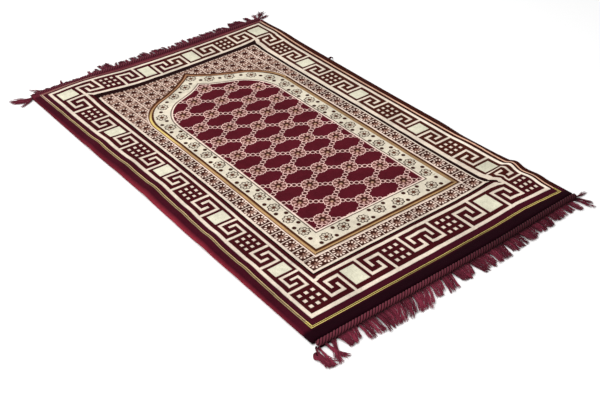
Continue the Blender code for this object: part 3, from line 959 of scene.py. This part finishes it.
def ring_points(xs, ys, ring):
    """One ring's points on the laid cloth, their places on the unrolled cloth, and where those are laid."""
    out = ring["unrolled"]
    x = xs * ((HALF_WIDTH - ring["inset"]) / HALF_WIDTH)
    y = ys * ((HALF_LENGTH - ring["inset"]) / HALF_LENGTH)
    fuzz = np.abs(FUZZ * ripple(x, y, 5, 0.011) * (ring["height"] > 0))
    swell = (SWELL * ripple(x, y, 7, 0.055) + DIMPLE * ripple(x, y, 8, 0.014)) * (ring["height"] >= 1.0)
    high = lift(x, y) + ring["height"] * PILE_THICKNESS + swell
    moved = []
    laid = []
    for at, start, half in zip(drawn(x, y), (xs, ys), (HALF_WIDTH, HALF_LENGTH)):
        on_edge = np.abs(start) >= half - 1e-6
        moved.append(at - np.sign(start) * fuzz * on_edge)
        laid.append(moved[-1] + np.sign(start) * (out + ring["inset"]) * on_edge)
    unrolled = [xs * (HALF_WIDTH + out) / HALF_WIDTH, ys * (HALF_LENGTH + out) / HALF_LENGTH]
    for places in (moved, laid):
        places[1] = places[1] + CLOTH_SHIFT
    return [np.stack(places, axis=-1) for places in ([*moved, high], unrolled, laid)]


def quads(grid):
    """The quads of a grid of point numbers, facing up."""
    return np.stack([grid[:-1, :-1], grid[1:, :-1], grid[1:, 1:], grid[:-1, 1:]], axis=-1).reshape(-1, 4)


def make_pile():
    """The pile cloth: a fine grid on top and below, and a rounded rim of rings between them."""
    across = round(RUG_WIDTH / CELL)
    along = round(RUG_LENGTH / CELL)
    ys, xs = np.meshgrid(
        np.linspace(-HALF_LENGTH, HALF_LENGTH, along + 1),
        np.linspace(-HALF_WIDTH, HALF_WIDTH, across + 1),
    )
    grid = np.arange(xs.size).reshape(xs.shape)
    edge = [(i, 0) for i in range(across)] + [(across, j) for j in range(along)]
    edge += [(i, along) for i in range(across, 0, -1)] + [(0, j) for j in range(along, 0, -1)]
    edge = tuple(np.array(edge).T)

    # The first and the last ring are whole sheets, and the others run round the edge.
    parts = []
    loops = []
    count = 0
    rim = rows(RIM_COLUMNS, RIM)
    for ring in rim:
        sheet = ring in (rim[0], rim[-1])
        places = ring_points(xs, ys, ring) if sheet else ring_points(xs[edge], ys[edge], ring)
        parts.append([values.reshape(-1, values.shape[-1]) for values in places])
        loops.append(count + (grid[edge] if sheet else np.arange(len(edge[0]))))
        count += len(parts[-1][0])
    points, flat, laid = (np.concatenate(part) for part in zip(*parts))
    walls = [np.stack([one, two, np.roll(two, -1), np.roll(one, -1)], axis=-1) for one, two in zip(loops, loops[1:])]
    upper = quads(grid)
    lower = quads(grid + count - xs.size)[:, [0, 3, 2, 1]]
    faces = np.concatenate([upper, *walls, lower])
    rug = new_piece("pile_rug", points, faces.tolist(), [pile_material(), backing_material()])
    mesh = rug.data
    top_faces = len(faces) - len(lower)
    mesh.polygons.foreach_set("material_index", (np.arange(len(faces)) >= top_faces).astype(np.int32))

    corner = faces.ravel()
    pattern = np.stack(design((laid[:, 0] - PLANE_X) * 1000, (laid[:, 1] - PLANE_Y) * 1000), axis=-1)
    write_map(mesh, "Pattern", pattern[corner] / 1000)
    write_map(mesh, "Flat", flat[corner])

    # The bake map: the rug's top over most of the square, and its underside in a narrow strip beside it
    share_x = (flat[corner, 0] + HALF_WIDTH + BAKE_MARGIN) / (RUG_WIDTH + 2 * BAKE_MARGIN)
    share_y = (flat[corner, 1] + HALF_LENGTH + BAKE_MARGIN) / (RUG_LENGTH + 2 * BAKE_MARGIN)
    under = np.arange(len(corner)) >= 4 * top_faces
    side = np.where(under, 0.915 + 0.080 * share_x, 0.004 + 0.900 * share_x)
    write_map(mesh, "OFBake", np.stack([0.004 + 0.992 * share_y, side], axis=-1))
    return rug


# ---------------------------------------------------------------- yarn

YARN_SIDES = 5
BLUNT_FROM = 0.86        # a yarn thins from this share of its length on
TONE_SPREAD = 0.16


def tube_faces(first, steps, sides):
    """The faces of a closed tube whose points start at first, each with its corners as (ring, turn)."""
    for k in range(steps - 1):
        for n in range(sides):
            corners = (k, n), (k, n + 1), (k + 1, n + 1), (k + 1, n)
            yield tuple(first + ring * sides + turn % sides for ring, turn in corners), corners
    for k, order in ((0, range(sides - 1, -1, -1)), (steps - 1, range(sides))):
        yield tuple(first + k * sides + n for n in order), [(k, n) for n in order]


class Skein:
    """Tubes that are gathered into one mesh."""

    def __init__(self):
        self.points = []
        self.faces = []
        self.maps = []
        self.growth = []

    def tube(self, path, radii, start, tone, swell):
        """A closed tube along path. tone is its own shade as a share, and swell holds each point's share of radii."""
        path = np.asarray(path, float)
        steps = len(path)
        sides = len(swell[0])
        ahead = np.gradient(path, axis=0)
        ahead /= np.linalg.norm(ahead, axis=1)[:, None]
        side = np.cross(ahead, (0.0, 0.0, 1.0))
        side /= np.linalg.norm(side, axis=1)[:, None] + 1e-9
        high = np.cross(side, ahead)
        angles = np.arange(sides) * math.tau / sides
        radii = np.broadcast_to(np.asarray(radii, float), (steps,))
        far = np.concatenate([[0.0], np.cumsum(np.linalg.norm(np.diff(path, axis=0), axis=1))])
        around = math.tau * float(radii.mean())
        first = len(self.points)
        for k in range(steps):
            for n in range(sides):
                out = math.cos(angles[n]) * side[k] + math.sin(angles[n]) * high[k]
                self.points.append(path[k] + radii[k] * swell[k][n] * out)
        for face, corners in tube_faces(first, steps, sides):
            self.faces.append(face)
            self.maps += [(start[0] + around * n / sides, start[1] + far[k]) for k, n in corners]
            self.growth += [(tone, far[k] / far[-1]) for k, n in corners]

    def yarn(self, path, radius, dice, tone):
        """One yarn of a fringe, a little thinner at its tip."""
        share = np.linspace(0.0, 1.0, len(path))
        radii = radius * np.where(share > BLUNT_FROM, 1.0 - 4.2 * (share - BLUNT_FROM), 1.0)
        start = (0.02 * dice.randint(1, 40), dice.uniform(0.0, 0.5))
        own = min(1.0, max(0.0, tone + dice.gauss(0.0, TONE_SPREAD)))
        self.tube(path, radii, start, own, np.ones((len(path), YARN_SIDES)))

    def finish(self, name, materials):
        """The skein as a piece."""
        made = new_piece(name, self.points, self.faces, materials)
        write_map(made.data, "Yarn", self.maps)
        write_map(made.data, "Growth", self.growth)
        write_map(made.data, "OFBake", baked_yarn(made.data))
        return made


def baked_yarn(mesh):
    """A map of the whole piece seen from above: its box laid into the square."""
    corners = np.empty(len(mesh.loops), dtype=np.int32)
    mesh.loops.foreach_get("vertex_index", corners)
    points = np.empty(len(mesh.vertices) * 3)
    mesh.vertices.foreach_get("co", points)
    places = points.reshape(-1, 3)[corners][:, :2]
    low = places.min(axis=0)
    return 0.005 + 0.99 * (places - low) / (places.max(axis=0) - low)


# ---------------------------------------------------------------- cords

RIB_PITCH = 0.00705
PLIES = 4                # plies of the cord, each of which shows as a rib
PLY_SIDES = 7
CORD_SIDES = PLIES * PLY_SIDES
CORD_END = 0.004
CORD_FULL = 0.0060       # half the cord's height with its fibres
CORD_OUT = 0.0010        # how far its middle lies further out than the solid's
CORD_AROUND = math.tau * CORD_FULL
VALLEY = 0.24            # how deep the valleys between the plies are, as a share
RIB_STEPS = 4            # rings for each rib of the cord
FLAT_SHARE = 0.36        # how much of its height the far cord loses towards the left, where it is worn
FLAT_AT = -0.15
FLAT_REACH = 0.10


def make_cord(name, side, material):
    """The twisted cord across one end: plies that wind round, with deep valleys between them."""
    half = HALF_WIDTH - CORD_END
    steps = round(2 * half / RIB_PITCH) * RIB_STEPS
    dice = random.Random(31 if side < 0 else 37)
    starts = [dice.uniform(0.0, math.tau) for _ in range(PLIES)]
    points = []
    for k in range(steps + 1):
        x = -half + 2 * half * k / steps
        closing = min(1.0, math.sqrt(max(0.0, min(x + half, half - x)) / 0.004 + 0.10))
        middle = cord_line(side, x) + side * CORD_OUT
        slim = 1.0 if side < 0 else 1.0 - FLAT_SHARE * risen((FLAT_AT - x) / FLAT_REACH)
        wound = math.tau * (x + half) / (PLIES * RIB_PITCH)
        for n in range(CORD_SIDES):
            angle = math.tau * n / CORD_SIDES - wound
            rib = math.sin(math.pi * n / PLY_SIDES) ** 2
            plump = 0.965 + 0.035 * math.sin(x * 190.0 + starts[n // PLY_SIDES])
            r = CORD_FULL * slim * closing * (1.0 - VALLEY + VALLEY * rib ** 0.42) * plump
            z = CORD_FULL * slim + r * math.sin(angle)
            points.append((x, middle + r * math.cos(angle) * 1.10, max(z, 0.0002)))

    # A cap's corners all take the map's edge and the top of a rib.
    faces = []
    maps = []
    ribs = []
    for face, corners in tube_faces(0, steps + 1, CORD_SIDES):
        faces.append(face)
        is_cap = len(corners) == CORD_SIDES
        for ring, turn in corners:
            maps.append((0.0 if is_cap else CORD_AROUND * turn / CORD_SIDES, 2 * half * ring / steps))
            ribs.append((0.005 if is_cap else turn / PLY_SIDES / 100, 0.0))
    made = new_piece(name, points, faces, [material])
    write_map(made.data, "Yarn", maps)
    write_map(made.data, "Ribs", ribs)
    baked = [(0.01 + 0.98 * along / (2 * half), 0.02 + 0.96 * turned / CORD_AROUND) for turned, along in maps]
    write_map(made.data, "OFBake", baked)
    return made


# ---------------------------------------------------------------- fringes

STRIP_STEPS = 240
STRIP_SIDES = 8
STRANDS_PER_END = 102
STRAND_WIDTH = 0.0046
MID_SHARE = 0.52         # how far along its length a yarn bends
CLUMP_SIZES = (3, 8)
CLUMP_DRAW = 0.30        # how far a clump's tips draw together, and how far apart clumps stand
CLUMP_GAP = 0.0036
LEAN_SPREAD = 0.15       # how far a clump leans to a side, as a share of its length
TIP_SPACING = 0.0012
SHORTEST_CLUMP = 0.68
RAGGEDNESS = 0.10
FAN_STRANDS = 5          # the strands at a corner that lean out, and how far
FAN_LEAN = 0.85
LONGEST_STRAND = 34
# Stretches of an end where strands have lost a share of their length
WORN_COLUMNS = ("end", "at", "reach", "loss")
WORN = (
    ("near", 0.230, 0.200, 0.34),
    ("far", -0.270, 0.110, 0.40),
)
# Loose locks at the corners, in the model's frame: from root past bend to tip, with the yarns in each
LOCK_COLUMNS = ("end", "root", "bend", "tip", "yarns", "spread")
LOCKS = (
    ("near", (-0.3500, -0.5560), (-0.3600, -0.5850), (-0.3546, -0.6094), 66, 0.0034),
    ("near", (-0.3460, -0.5575), (-0.3500, -0.5880), (-0.3488, -0.6096), 30, 0.0022),
    ("near", (-0.3300, -0.5585), (-0.3290, -0.5860), (-0.3180, -0.6074), 26, 0.0017),
    ("near", (-0.3320, -0.5585), (-0.3310, -0.5880), (-0.3383, -0.6120), 28, 0.0018),
    ("near", (0.3430, -0.5480), (0.3580, -0.5475), (0.3780, -0.5444), 12, 0.0012),
    ("near", (0.3400, -0.5520), (0.3490, -0.5640), (0.3569, -0.5822), 16, 0.0014),
    ("near", (0.3360, -0.5530), (0.3420, -0.5730), (0.3487, -0.5953), 16, 0.0014),
    ("far", (-0.3450, 0.5570), (-0.3640, 0.5500), (-0.4010, 0.5730), 30, 0.0019),
    ("far", (-0.3450, 0.5560), (-0.3680, 0.5440), (-0.4000, 0.5600), 26, 0.0017),
    ("far", (-0.3450, 0.5550), (-0.3640, 0.5380), (-0.3900, 0.5290), 14, 0.0015),
    ("far", (0.3420, 0.5640), (0.3620, 0.5860), (0.3860, 0.6070), 30, 0.0028),
    ("far", (0.3430, 0.5620), (0.3640, 0.5700), (0.3850, 0.5760), 26, 0.0028),
    ("far", (0.3380, 0.5640), (0.3480, 0.5900), (0.3560, 0.6040), 26, 0.0028),
    ("far", (-0.3120, 0.5640), (-0.3240, 0.5800), (-0.3420, 0.5960), 5, 0.0020),
)
KNOT_AT = (-0.3600, -0.5750)
KNOT_RADIUS = 0.0066
KNOT_YARNS = 26
KNOT_TURNS = 1.35
KNOT_STEPS = 22
LOCK_SWAY = 0.0014
YARNS_PER_STRAND = 13
YARN_RADIUS = 0.00048
YARN_STEPS = 9
NEAR_SWING = 0.30        # how far the near fringe swings to the left, as a share of its length
SWING_AT = -0.15
SWING_REACH = 0.26
NEAR_YARN_REACH = 1.06   # the longest yarns of a clump against its longest strand
FAR_YARN_REACH = 1.0
TIP_GATHER = (-0.05, 0.38)  # how far a clump's plies, and a ply's yarns, draw together at their tips
PLY_GATHER = (-0.25, 0.35)
SHORT_SHARE = 0.22       # how much shorter a clump's shortest plies are
RAGGED_SHARE = 0.20      # how much shorter a ply's shortest yarns are
PLY_STRAY = 0.0019       # how far a ply's tip strays
STRAY = 0.0012           # how far a yarn's tip strays from its ply
CLUMP_STRAY = 0.0034     # how far a whole clump strays
WILD_SHARE = 0.18        # of the plies stray far more
WORN_SHARE = 0.80        # how much of its length the far fringe has lost towards the left
WORN_AT = -0.15
WORN_REACH = 0.04
SPARED_TONE = 0.80       # yarns of a brighter tone than this are spared, up to the corner
CORNER_AT = -0.31
NEAR_BARE = (-0.322, 0.325)  # past these the strip bears no yarn, and the corner's locks take over
FAR_BARE = (-0.330, 0.330)


def strip_offsets():
    """How far the fringe strip's rear and front lie from the cord's middle line."""
    narrowing = (CORD_HEIGHT / 2 - STRIP_HEIGHT) / math.tan(math.pi / 3)
    rear = cord_radius() - narrowing + STRIP_GAP
    return rear, rear + STRIP_DEPTH


def clumps(dice):
    """The number of strands in each clump along one end."""
    sizes = []
    left = STRANDS_PER_END
    while left > 0:
        size = min(left, dice.randint(*CLUMP_SIZES))
        sizes.append(size)
        left -= size
    return sizes


def kept_apart(places, spacing):
    """The places from left to right, moved on where they crowd."""
    spaced = [places[0]]
    for place in places[1:]:
        spaced.append(max(place, spaced[-1] + spacing))
    return spaced


def left_by_wear(end, x):
    """The share of a strand's length that is left at x."""
    share = 1.0
    for worn in rows(WORN_COLUMNS, WORN):
        if worn["end"] == end:
            share -= worn["loss"] * float(fade((x - worn["at"]) / worn["reach"]))
    return share


def plan_strands(side, dice):
    """The clumps along one end. Each is a list of strands: places of root and tip along X, and length."""
    end = "near" if side < 0 else "far"
    reach = NEAR_REACH if side < 0 else FAR_REACH
    longest = reach - SEAM_GAP - cord_radius() - strip_offsets()[1]
    sizes = clumps(dice)
    width = 2 * (HALF_WIDTH - CORD_END) - STRAND_WIDTH - CLUMP_GAP
    pitch = (width - CLUMP_GAP * (len(sizes) - 1)) / (STRANDS_PER_END - 1)
    roots = []
    tips = []
    lengths = []
    x = -width / 2
    for size in sizes:
        middle = x + pitch * (size - 1) / 2
        share = SHORTEST_CLUMP + (1.0 - SHORTEST_CLUMP) * dice.random()
        lean = LEAN_SPREAD * (2 * dice.random() - 1)
        for _ in range(size):
            long = longest * share * left_by_wear(end, x) * (1.0 - RAGGEDNESS * dice.random())
            roots.append(x)
            tips.append(middle + (x - middle) * (1.0 - CLUMP_DRAW) + lean * long)
            lengths.append(long)
            x += pitch
        x += CLUMP_GAP
    for n in range(FAN_STRANDS):
        share = (FAN_STRANDS - n) / FAN_STRANDS
        last = STRANDS_PER_END - 1 - n
        tips[n] = roots[n] - FAN_LEAN * share * share * lengths[n]
        tips[last] = roots[last] + FAN_LEAN * share * share * lengths[last]
    start = cord_line(side, roots[LONGEST_STRAND]) + side * strip_offsets()[1]
    lengths[LONGEST_STRAND] = abs(side * (HALF_LENGTH + reach) + CLOTH_SHIFT - start)
    strands = list(zip(roots, kept_apart(tips, TIP_SPACING), lengths))
    planned = []
    for size in sizes:
        planned.append(strands[:size])
        strands = strands[size:]
    return planned


def bent(root, bend, tip, steps):
    """Points along a smooth curve from root past bend to tip."""
    root, bend, tip = (np.array(v, float) for v in (root, bend, tip))
    control = 2.0 * bend - (root + tip) / 2
    t = np.linspace(0.0, 1.0, steps)[:, None]
    return (1 - t) ** 2 * root + 2 * t * (1 - t) * control + t ** 2 * tip


def lay_yarn(skein, root, bend, tip, dice, sway, lie, tone):
    """A yarn from root to tip that waves a little, with lie the height at which it rests."""
    path = bent(root, bend, tip, YARN_STEPS)
    t = np.linspace(0.0, 1.0, YARN_STEPS)
    heading = path[-1] - path[0]
    across = np.array([-heading[1], heading[0], 0.0]) / max(math.hypot(heading[0], heading[1]), 1e-6)
    rate = dice.uniform(0.8, 2.8)
    start = dice.uniform(0.0, math.tau)
    wave = sway * t * (np.sin(math.tau * rate * t + start) + 0.5 * np.sin(math.tau * 2.7 * rate * t + 2 * start))
    path += wave[:, None] * across
    hump = dice.uniform(0.0, 1.0) ** 2 * 0.0030 * np.sin(math.pi * np.minimum(t * 1.2, 1.0))
    path[:, 2] = root[2] * (1 - t) ** 2 + lie * (1 - (1 - t) ** 2) + hump + 0.0004 * np.abs(np.sin(9 * t + start))
    path[:, 2] = np.maximum(path[:, 2], YARN_RADIUS * 1.05)
    skein.yarn(path, YARN_RADIUS * dice.uniform(0.8, 1.2), dice, tone)


def make_fringe(name, side, seed, material):
    """The yarn fringe of one end, which hangs from a narrow woven strip under the cord."""
    end = "near" if side < 0 else "far"
    reach_share = NEAR_YARN_REACH if side < 0 else FAR_YARN_REACH
    rear, front = strip_offsets()
    planned = plan_strands(side, random.Random(seed))
    dice = random.Random(seed + 100)
    skein = Skein()
    bare = NEAR_BARE if side < 0 else FAR_BARE

    # The heading strip: a low bound edge that the yarns come out of
    half = HALF_WIDTH - CORD_END
    line = []
    swell = []
    for x in np.linspace(-half, half, STRIP_STEPS):
        line.append((x, cord_line(side, x) + side * (rear + front) / 2, STRIP_HEIGHT / 2))
        swell.append([dice.uniform(0.92, 1.05) for _ in range(STRIP_SIDES)])
    skein.tube(line, STRIP_HEIGHT / 2 * 0.95, (0.0, 0.0), 0.0, swell)

    for clump in planned:
        low = clump[0][0] - STRAND_WIDTH / 2 - CLUMP_GAP / 2
        high = clump[-1][0] + STRAND_WIDTH / 2 + CLUMP_GAP / 2
        middle = (low + high) / 2
        strands = len(clump)
        tip_middle = sum(strand[1] for strand in clump) / strands
        long = max(strand[2] for strand in clump) * reach_share
        lean = (tip_middle - middle) + dice.gauss(0.0, CLUMP_STRAY)
        if side < 0:
            lean -= NEAR_SWING * long * float(fade((middle - SWING_AT) / SWING_REACH))
        gather = dice.uniform(*TIP_GATHER)
        for n in range(strands):
            centre = low + (high - low) * (n + 0.5) / strands
            wide = (high - low) / strands
            ply_long = long * (1.0 - SHORT_SHARE * dice.random() ** 1.6)
            ply_aside = dice.gauss(0.0, PLY_STRAY) - (centre - middle) * gather
            ply_bend = dice.gauss(0.0, PLY_STRAY * 0.5)
            if dice.random() < WILD_SHARE:
                ply_aside += dice.gauss(0.0, PLY_STRAY * 3.0)
            ply_gather = dice.uniform(*PLY_GATHER)
            sway = dice.uniform(0.0005, 0.0012)
            lie = dice.uniform(0.0006, 0.0036)
            tone = dice.uniform(0.10, 0.90)
            if not bare[0] <= centre <= bare[1]:
                continue
            kept = 1.0
            if side > 0 and (tone < SPARED_TONE or centre < CORNER_AT):
                kept -= WORN_SHARE * risen((WORN_AT - centre) / WORN_REACH)
            ply_long *= kept
            for m in range(YARNS_PER_STRAND):
                share = (m + 0.2 + 0.6 * dice.random()) / YARNS_PER_STRAND - 0.5
                root_x = min(half, max(-half, centre + wide * share))
                y = cord_line(side, root_x)
                deep = dice.uniform(-0.30, 0.60)
                root = (root_x, y + side * (rear + (front - rear) * deep), dice.uniform(0.0022, STRIP_HEIGHT + 0.0016))
                reach = ply_long * (1.0 - RAGGED_SHARE * dice.random() ** 1.5)
                aside = (lean + ply_aside - wide * share * ply_gather + dice.gauss(0.0, STRAY)) * kept
                bend_x = root_x + (lean * 0.42 + ply_bend + (ply_aside - wide * share * ply_gather) * 0.6) * kept
                bend_at = (bend_x, y + side * (front + reach * MID_SHARE), 0.0)
                tip_at = (root_x + aside, y + side * (front + reach), 0.0)
                height = max(0.0006, lie + dice.gauss(0.0, 0.0007))
                lay_yarn(skein, root, bend_at, tip_at, dice, sway, height, tone)
    for lock in rows(LOCK_COLUMNS, LOCKS):
        if lock["end"] == end:
            add_lock(skein, lock, dice)
    if side < 0:
        add_knot(skein, dice)
    return skein.finish(name, [material])


def add_lock(skein, lock, dice):
    """A lock of loose yarn at a corner."""
    way = np.array(lock["tip"]) - np.array(lock["root"])
    aside = np.array([-way[1], way[0]]) / np.linalg.norm(way)
    tone = dice.uniform(0.4, 0.9)
    for _ in range(lock["yarns"]):
        off = dice.gauss(0.0, 0.0009)
        share = 1.0 - 0.38 * dice.random() ** 2
        stray = dice.gauss(0.0, lock["spread"])
        root = np.array(lock["root"]) + aside * off
        bend = np.array(lock["bend"]) + aside * (off + stray * 0.5)
        bend = (*(root + (bend - root) * share), 0.0)
        tip = (*(root + way * share + aside * (off + stray * 1.9)), 0.0)
        root = (*root, dice.uniform(0.001, 0.006))
        lay_yarn(skein, root, bend, tip, dice, LOCK_SWAY, dice.uniform(0.0006, 0.0040), tone)


def add_knot(skein, dice):
    """The curled root of the near left corner's locks: yarns that loop round once and go on."""
    for _ in range(KNOT_YARNS):
        turn = np.linspace(0.0, math.tau * KNOT_TURNS, KNOT_STEPS)
        size = KNOT_RADIUS + dice.gauss(0.0, 0.0013)
        start = dice.uniform(-0.5, 0.5) + 1.2
        high = 0.0036 + dice.gauss(0.0, 0.0013) + 0.0022 * np.sin(turn * 0.5 + start)
        path = np.stack([
            KNOT_AT[0] + size * np.cos(turn + start) * 0.9,
            KNOT_AT[1] + size * np.sin(turn + start),
            np.maximum(high, YARN_RADIUS * 1.1),
        ], axis=-1)
        skein.yarn(path, YARN_RADIUS * 1.1, dice, dice.uniform(0.3, 0.8))


TUFT_AT = (0.3455, 0.2505)
TUFT_YARNS = 14


def make_tuft(material):
    """A few loose ends of dark yarn that stick out of the right long edge."""
    dice = random.Random(71)
    skein = Skein()
    for _ in range(TUFT_YARNS):
        y = TUFT_AT[1] + dice.gauss(0.0, 0.0028)
        root = (TUFT_AT[0] - 0.006, y, PILE_THICKNESS * 0.75)
        out = dice.uniform(0.004, 0.011)
        bend = (TUFT_AT[0] + out * 0.5, y + dice.gauss(0.0, 0.001), 0.0)
        tip = (TUFT_AT[0] + out, y + dice.gauss(0.0, 0.003), 0.0)
        path = bent(root, bend, tip, YARN_STEPS)
        t = np.linspace(0.0, 1.0, YARN_STEPS)
        path[:, 2] = PILE_THICKNESS * (0.75 + 0.35 * np.sin(math.pi * t)) - 0.003 * t * dice.random()
        skein.yarn(path, YARN_RADIUS, dice, 0.6)
    return skein.finish("edge_tuft", [material])


# ---------------------------------------------------------------- the studio

CAMERA_AT = (-1.0879, -1.4760, 1.1460)
CAMERA_RIGHT = (0.78781589, -0.61581729, -0.01073269)
CAMERA_UP = (0.36302476, 0.45019996, 0.81580207)
CAMERA_BACK = (-0.49755317, -0.64659806, 0.57823161)
SENSOR_WIDTH = 36.0
FOCAL = 957.745 / 600 * SENSOR_WIDTH
FLOOR_HALF = 8.0
FLOOR_AT = -0.0004
LIGHT_COLUMNS = ("name", "at", "size", "power")
LIGHTS = (
    ("soft_top", (-0.6, 0.4, 2.6), 2.4, 52.0),
    ("left_key", (-2.2, -0.3, 1.5), 1.4, 24.0),
)


def make_camera():
    data = bpy.data.cameras.new("camera")
    data.sensor_width = SENSOR_WIDTH
    data.lens = FOCAL
    data.clip_start = 0.05
    data.clip_end = 60.0
    camera = add_object("camera", data)
    columns = zip(CAMERA_RIGHT, CAMERA_UP, CAMERA_BACK, CAMERA_AT)
    camera.matrix_world = Matrix((*columns, (0.0, 0.0, 0.0, 1.0)))
    bpy.context.scene.camera = camera


def make_light(light):
    """A square lamp that points at the rug's middle."""
    data = bpy.data.lights.new(light["name"], "AREA")
    data.shape = "SQUARE"
    data.size = light["size"]
    data.energy = light["power"]
    made = add_object(light["name"], data)
    made.location = light["at"]
    made.rotation_mode = "QUATERNION"
    made.rotation_quaternion = (-Vector(light["at"])).to_track_quat("-Z", "Y")


def make_studio():
    half = FLOOR_HALF
    mesh = bpy.data.meshes.new("studio_floor")
    corners = [(-half, -half, FLOOR_AT), (half, -half, FLOOR_AT), (half, half, FLOOR_AT), (-half, half, FLOOR_AT)]
    mesh.from_pydata(corners, [], [(0, 1, 2, 3)])
    mesh.materials.append(floor_material())
    floor = add_object("studio_floor", mesh)
    world = bpy.data.worlds.new("studio")
    bpy.context.scene.world = world
    world.use_nodes = True
    back = world.node_tree.nodes["Background"]
    back.inputs["Color"].default_value = (1.0, 1.0, 1.0, 1.0)
    back.inputs["Strength"].default_value = 0.62
    for light in rows(LIGHT_COLUMNS, LIGHTS):
        make_light(light)
    bpy.context.scene.view_settings.view_transform = "Standard"
    bpy.context.scene.view_settings.look = "None"


def main():
    make_camera()
    make_studio()
    rug = make_pile()
    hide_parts("pile_cloth")
    for end, side, seed, dim, light in (("near", -1.0, 11, 0.62, 1.0), ("far", 1.0, 23, 0.15, 0.84)):
        cord_yarn = yarn_material(end + "_cord_yarn", (120, 56, 68), (76, 28, 38), 0.0016, 0.04, dim, ribbed=True)
        cord = make_cord(end + "_twisted_cord", side, cord_yarn)
        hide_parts(end + "_cord")
        bright, deep = [[part * light for part in tint] for tint in ((146, 56, 76), (66, 16, 30))]
        fringe_yarn = yarn_material(end + "_fringe_yarn", bright, deep, 0.0024, 0.05, dim * 0.6)
        fringe = make_fringe(end + "_yarn_fringe", side, seed, fringe_yarn)
        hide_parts(end + "_fringe")
    tuft = make_tuft(yarn_material("tuft_yarn", (66, 24, 34), (30, 8, 14), 0.0024, 0.05, 0.0))


main()
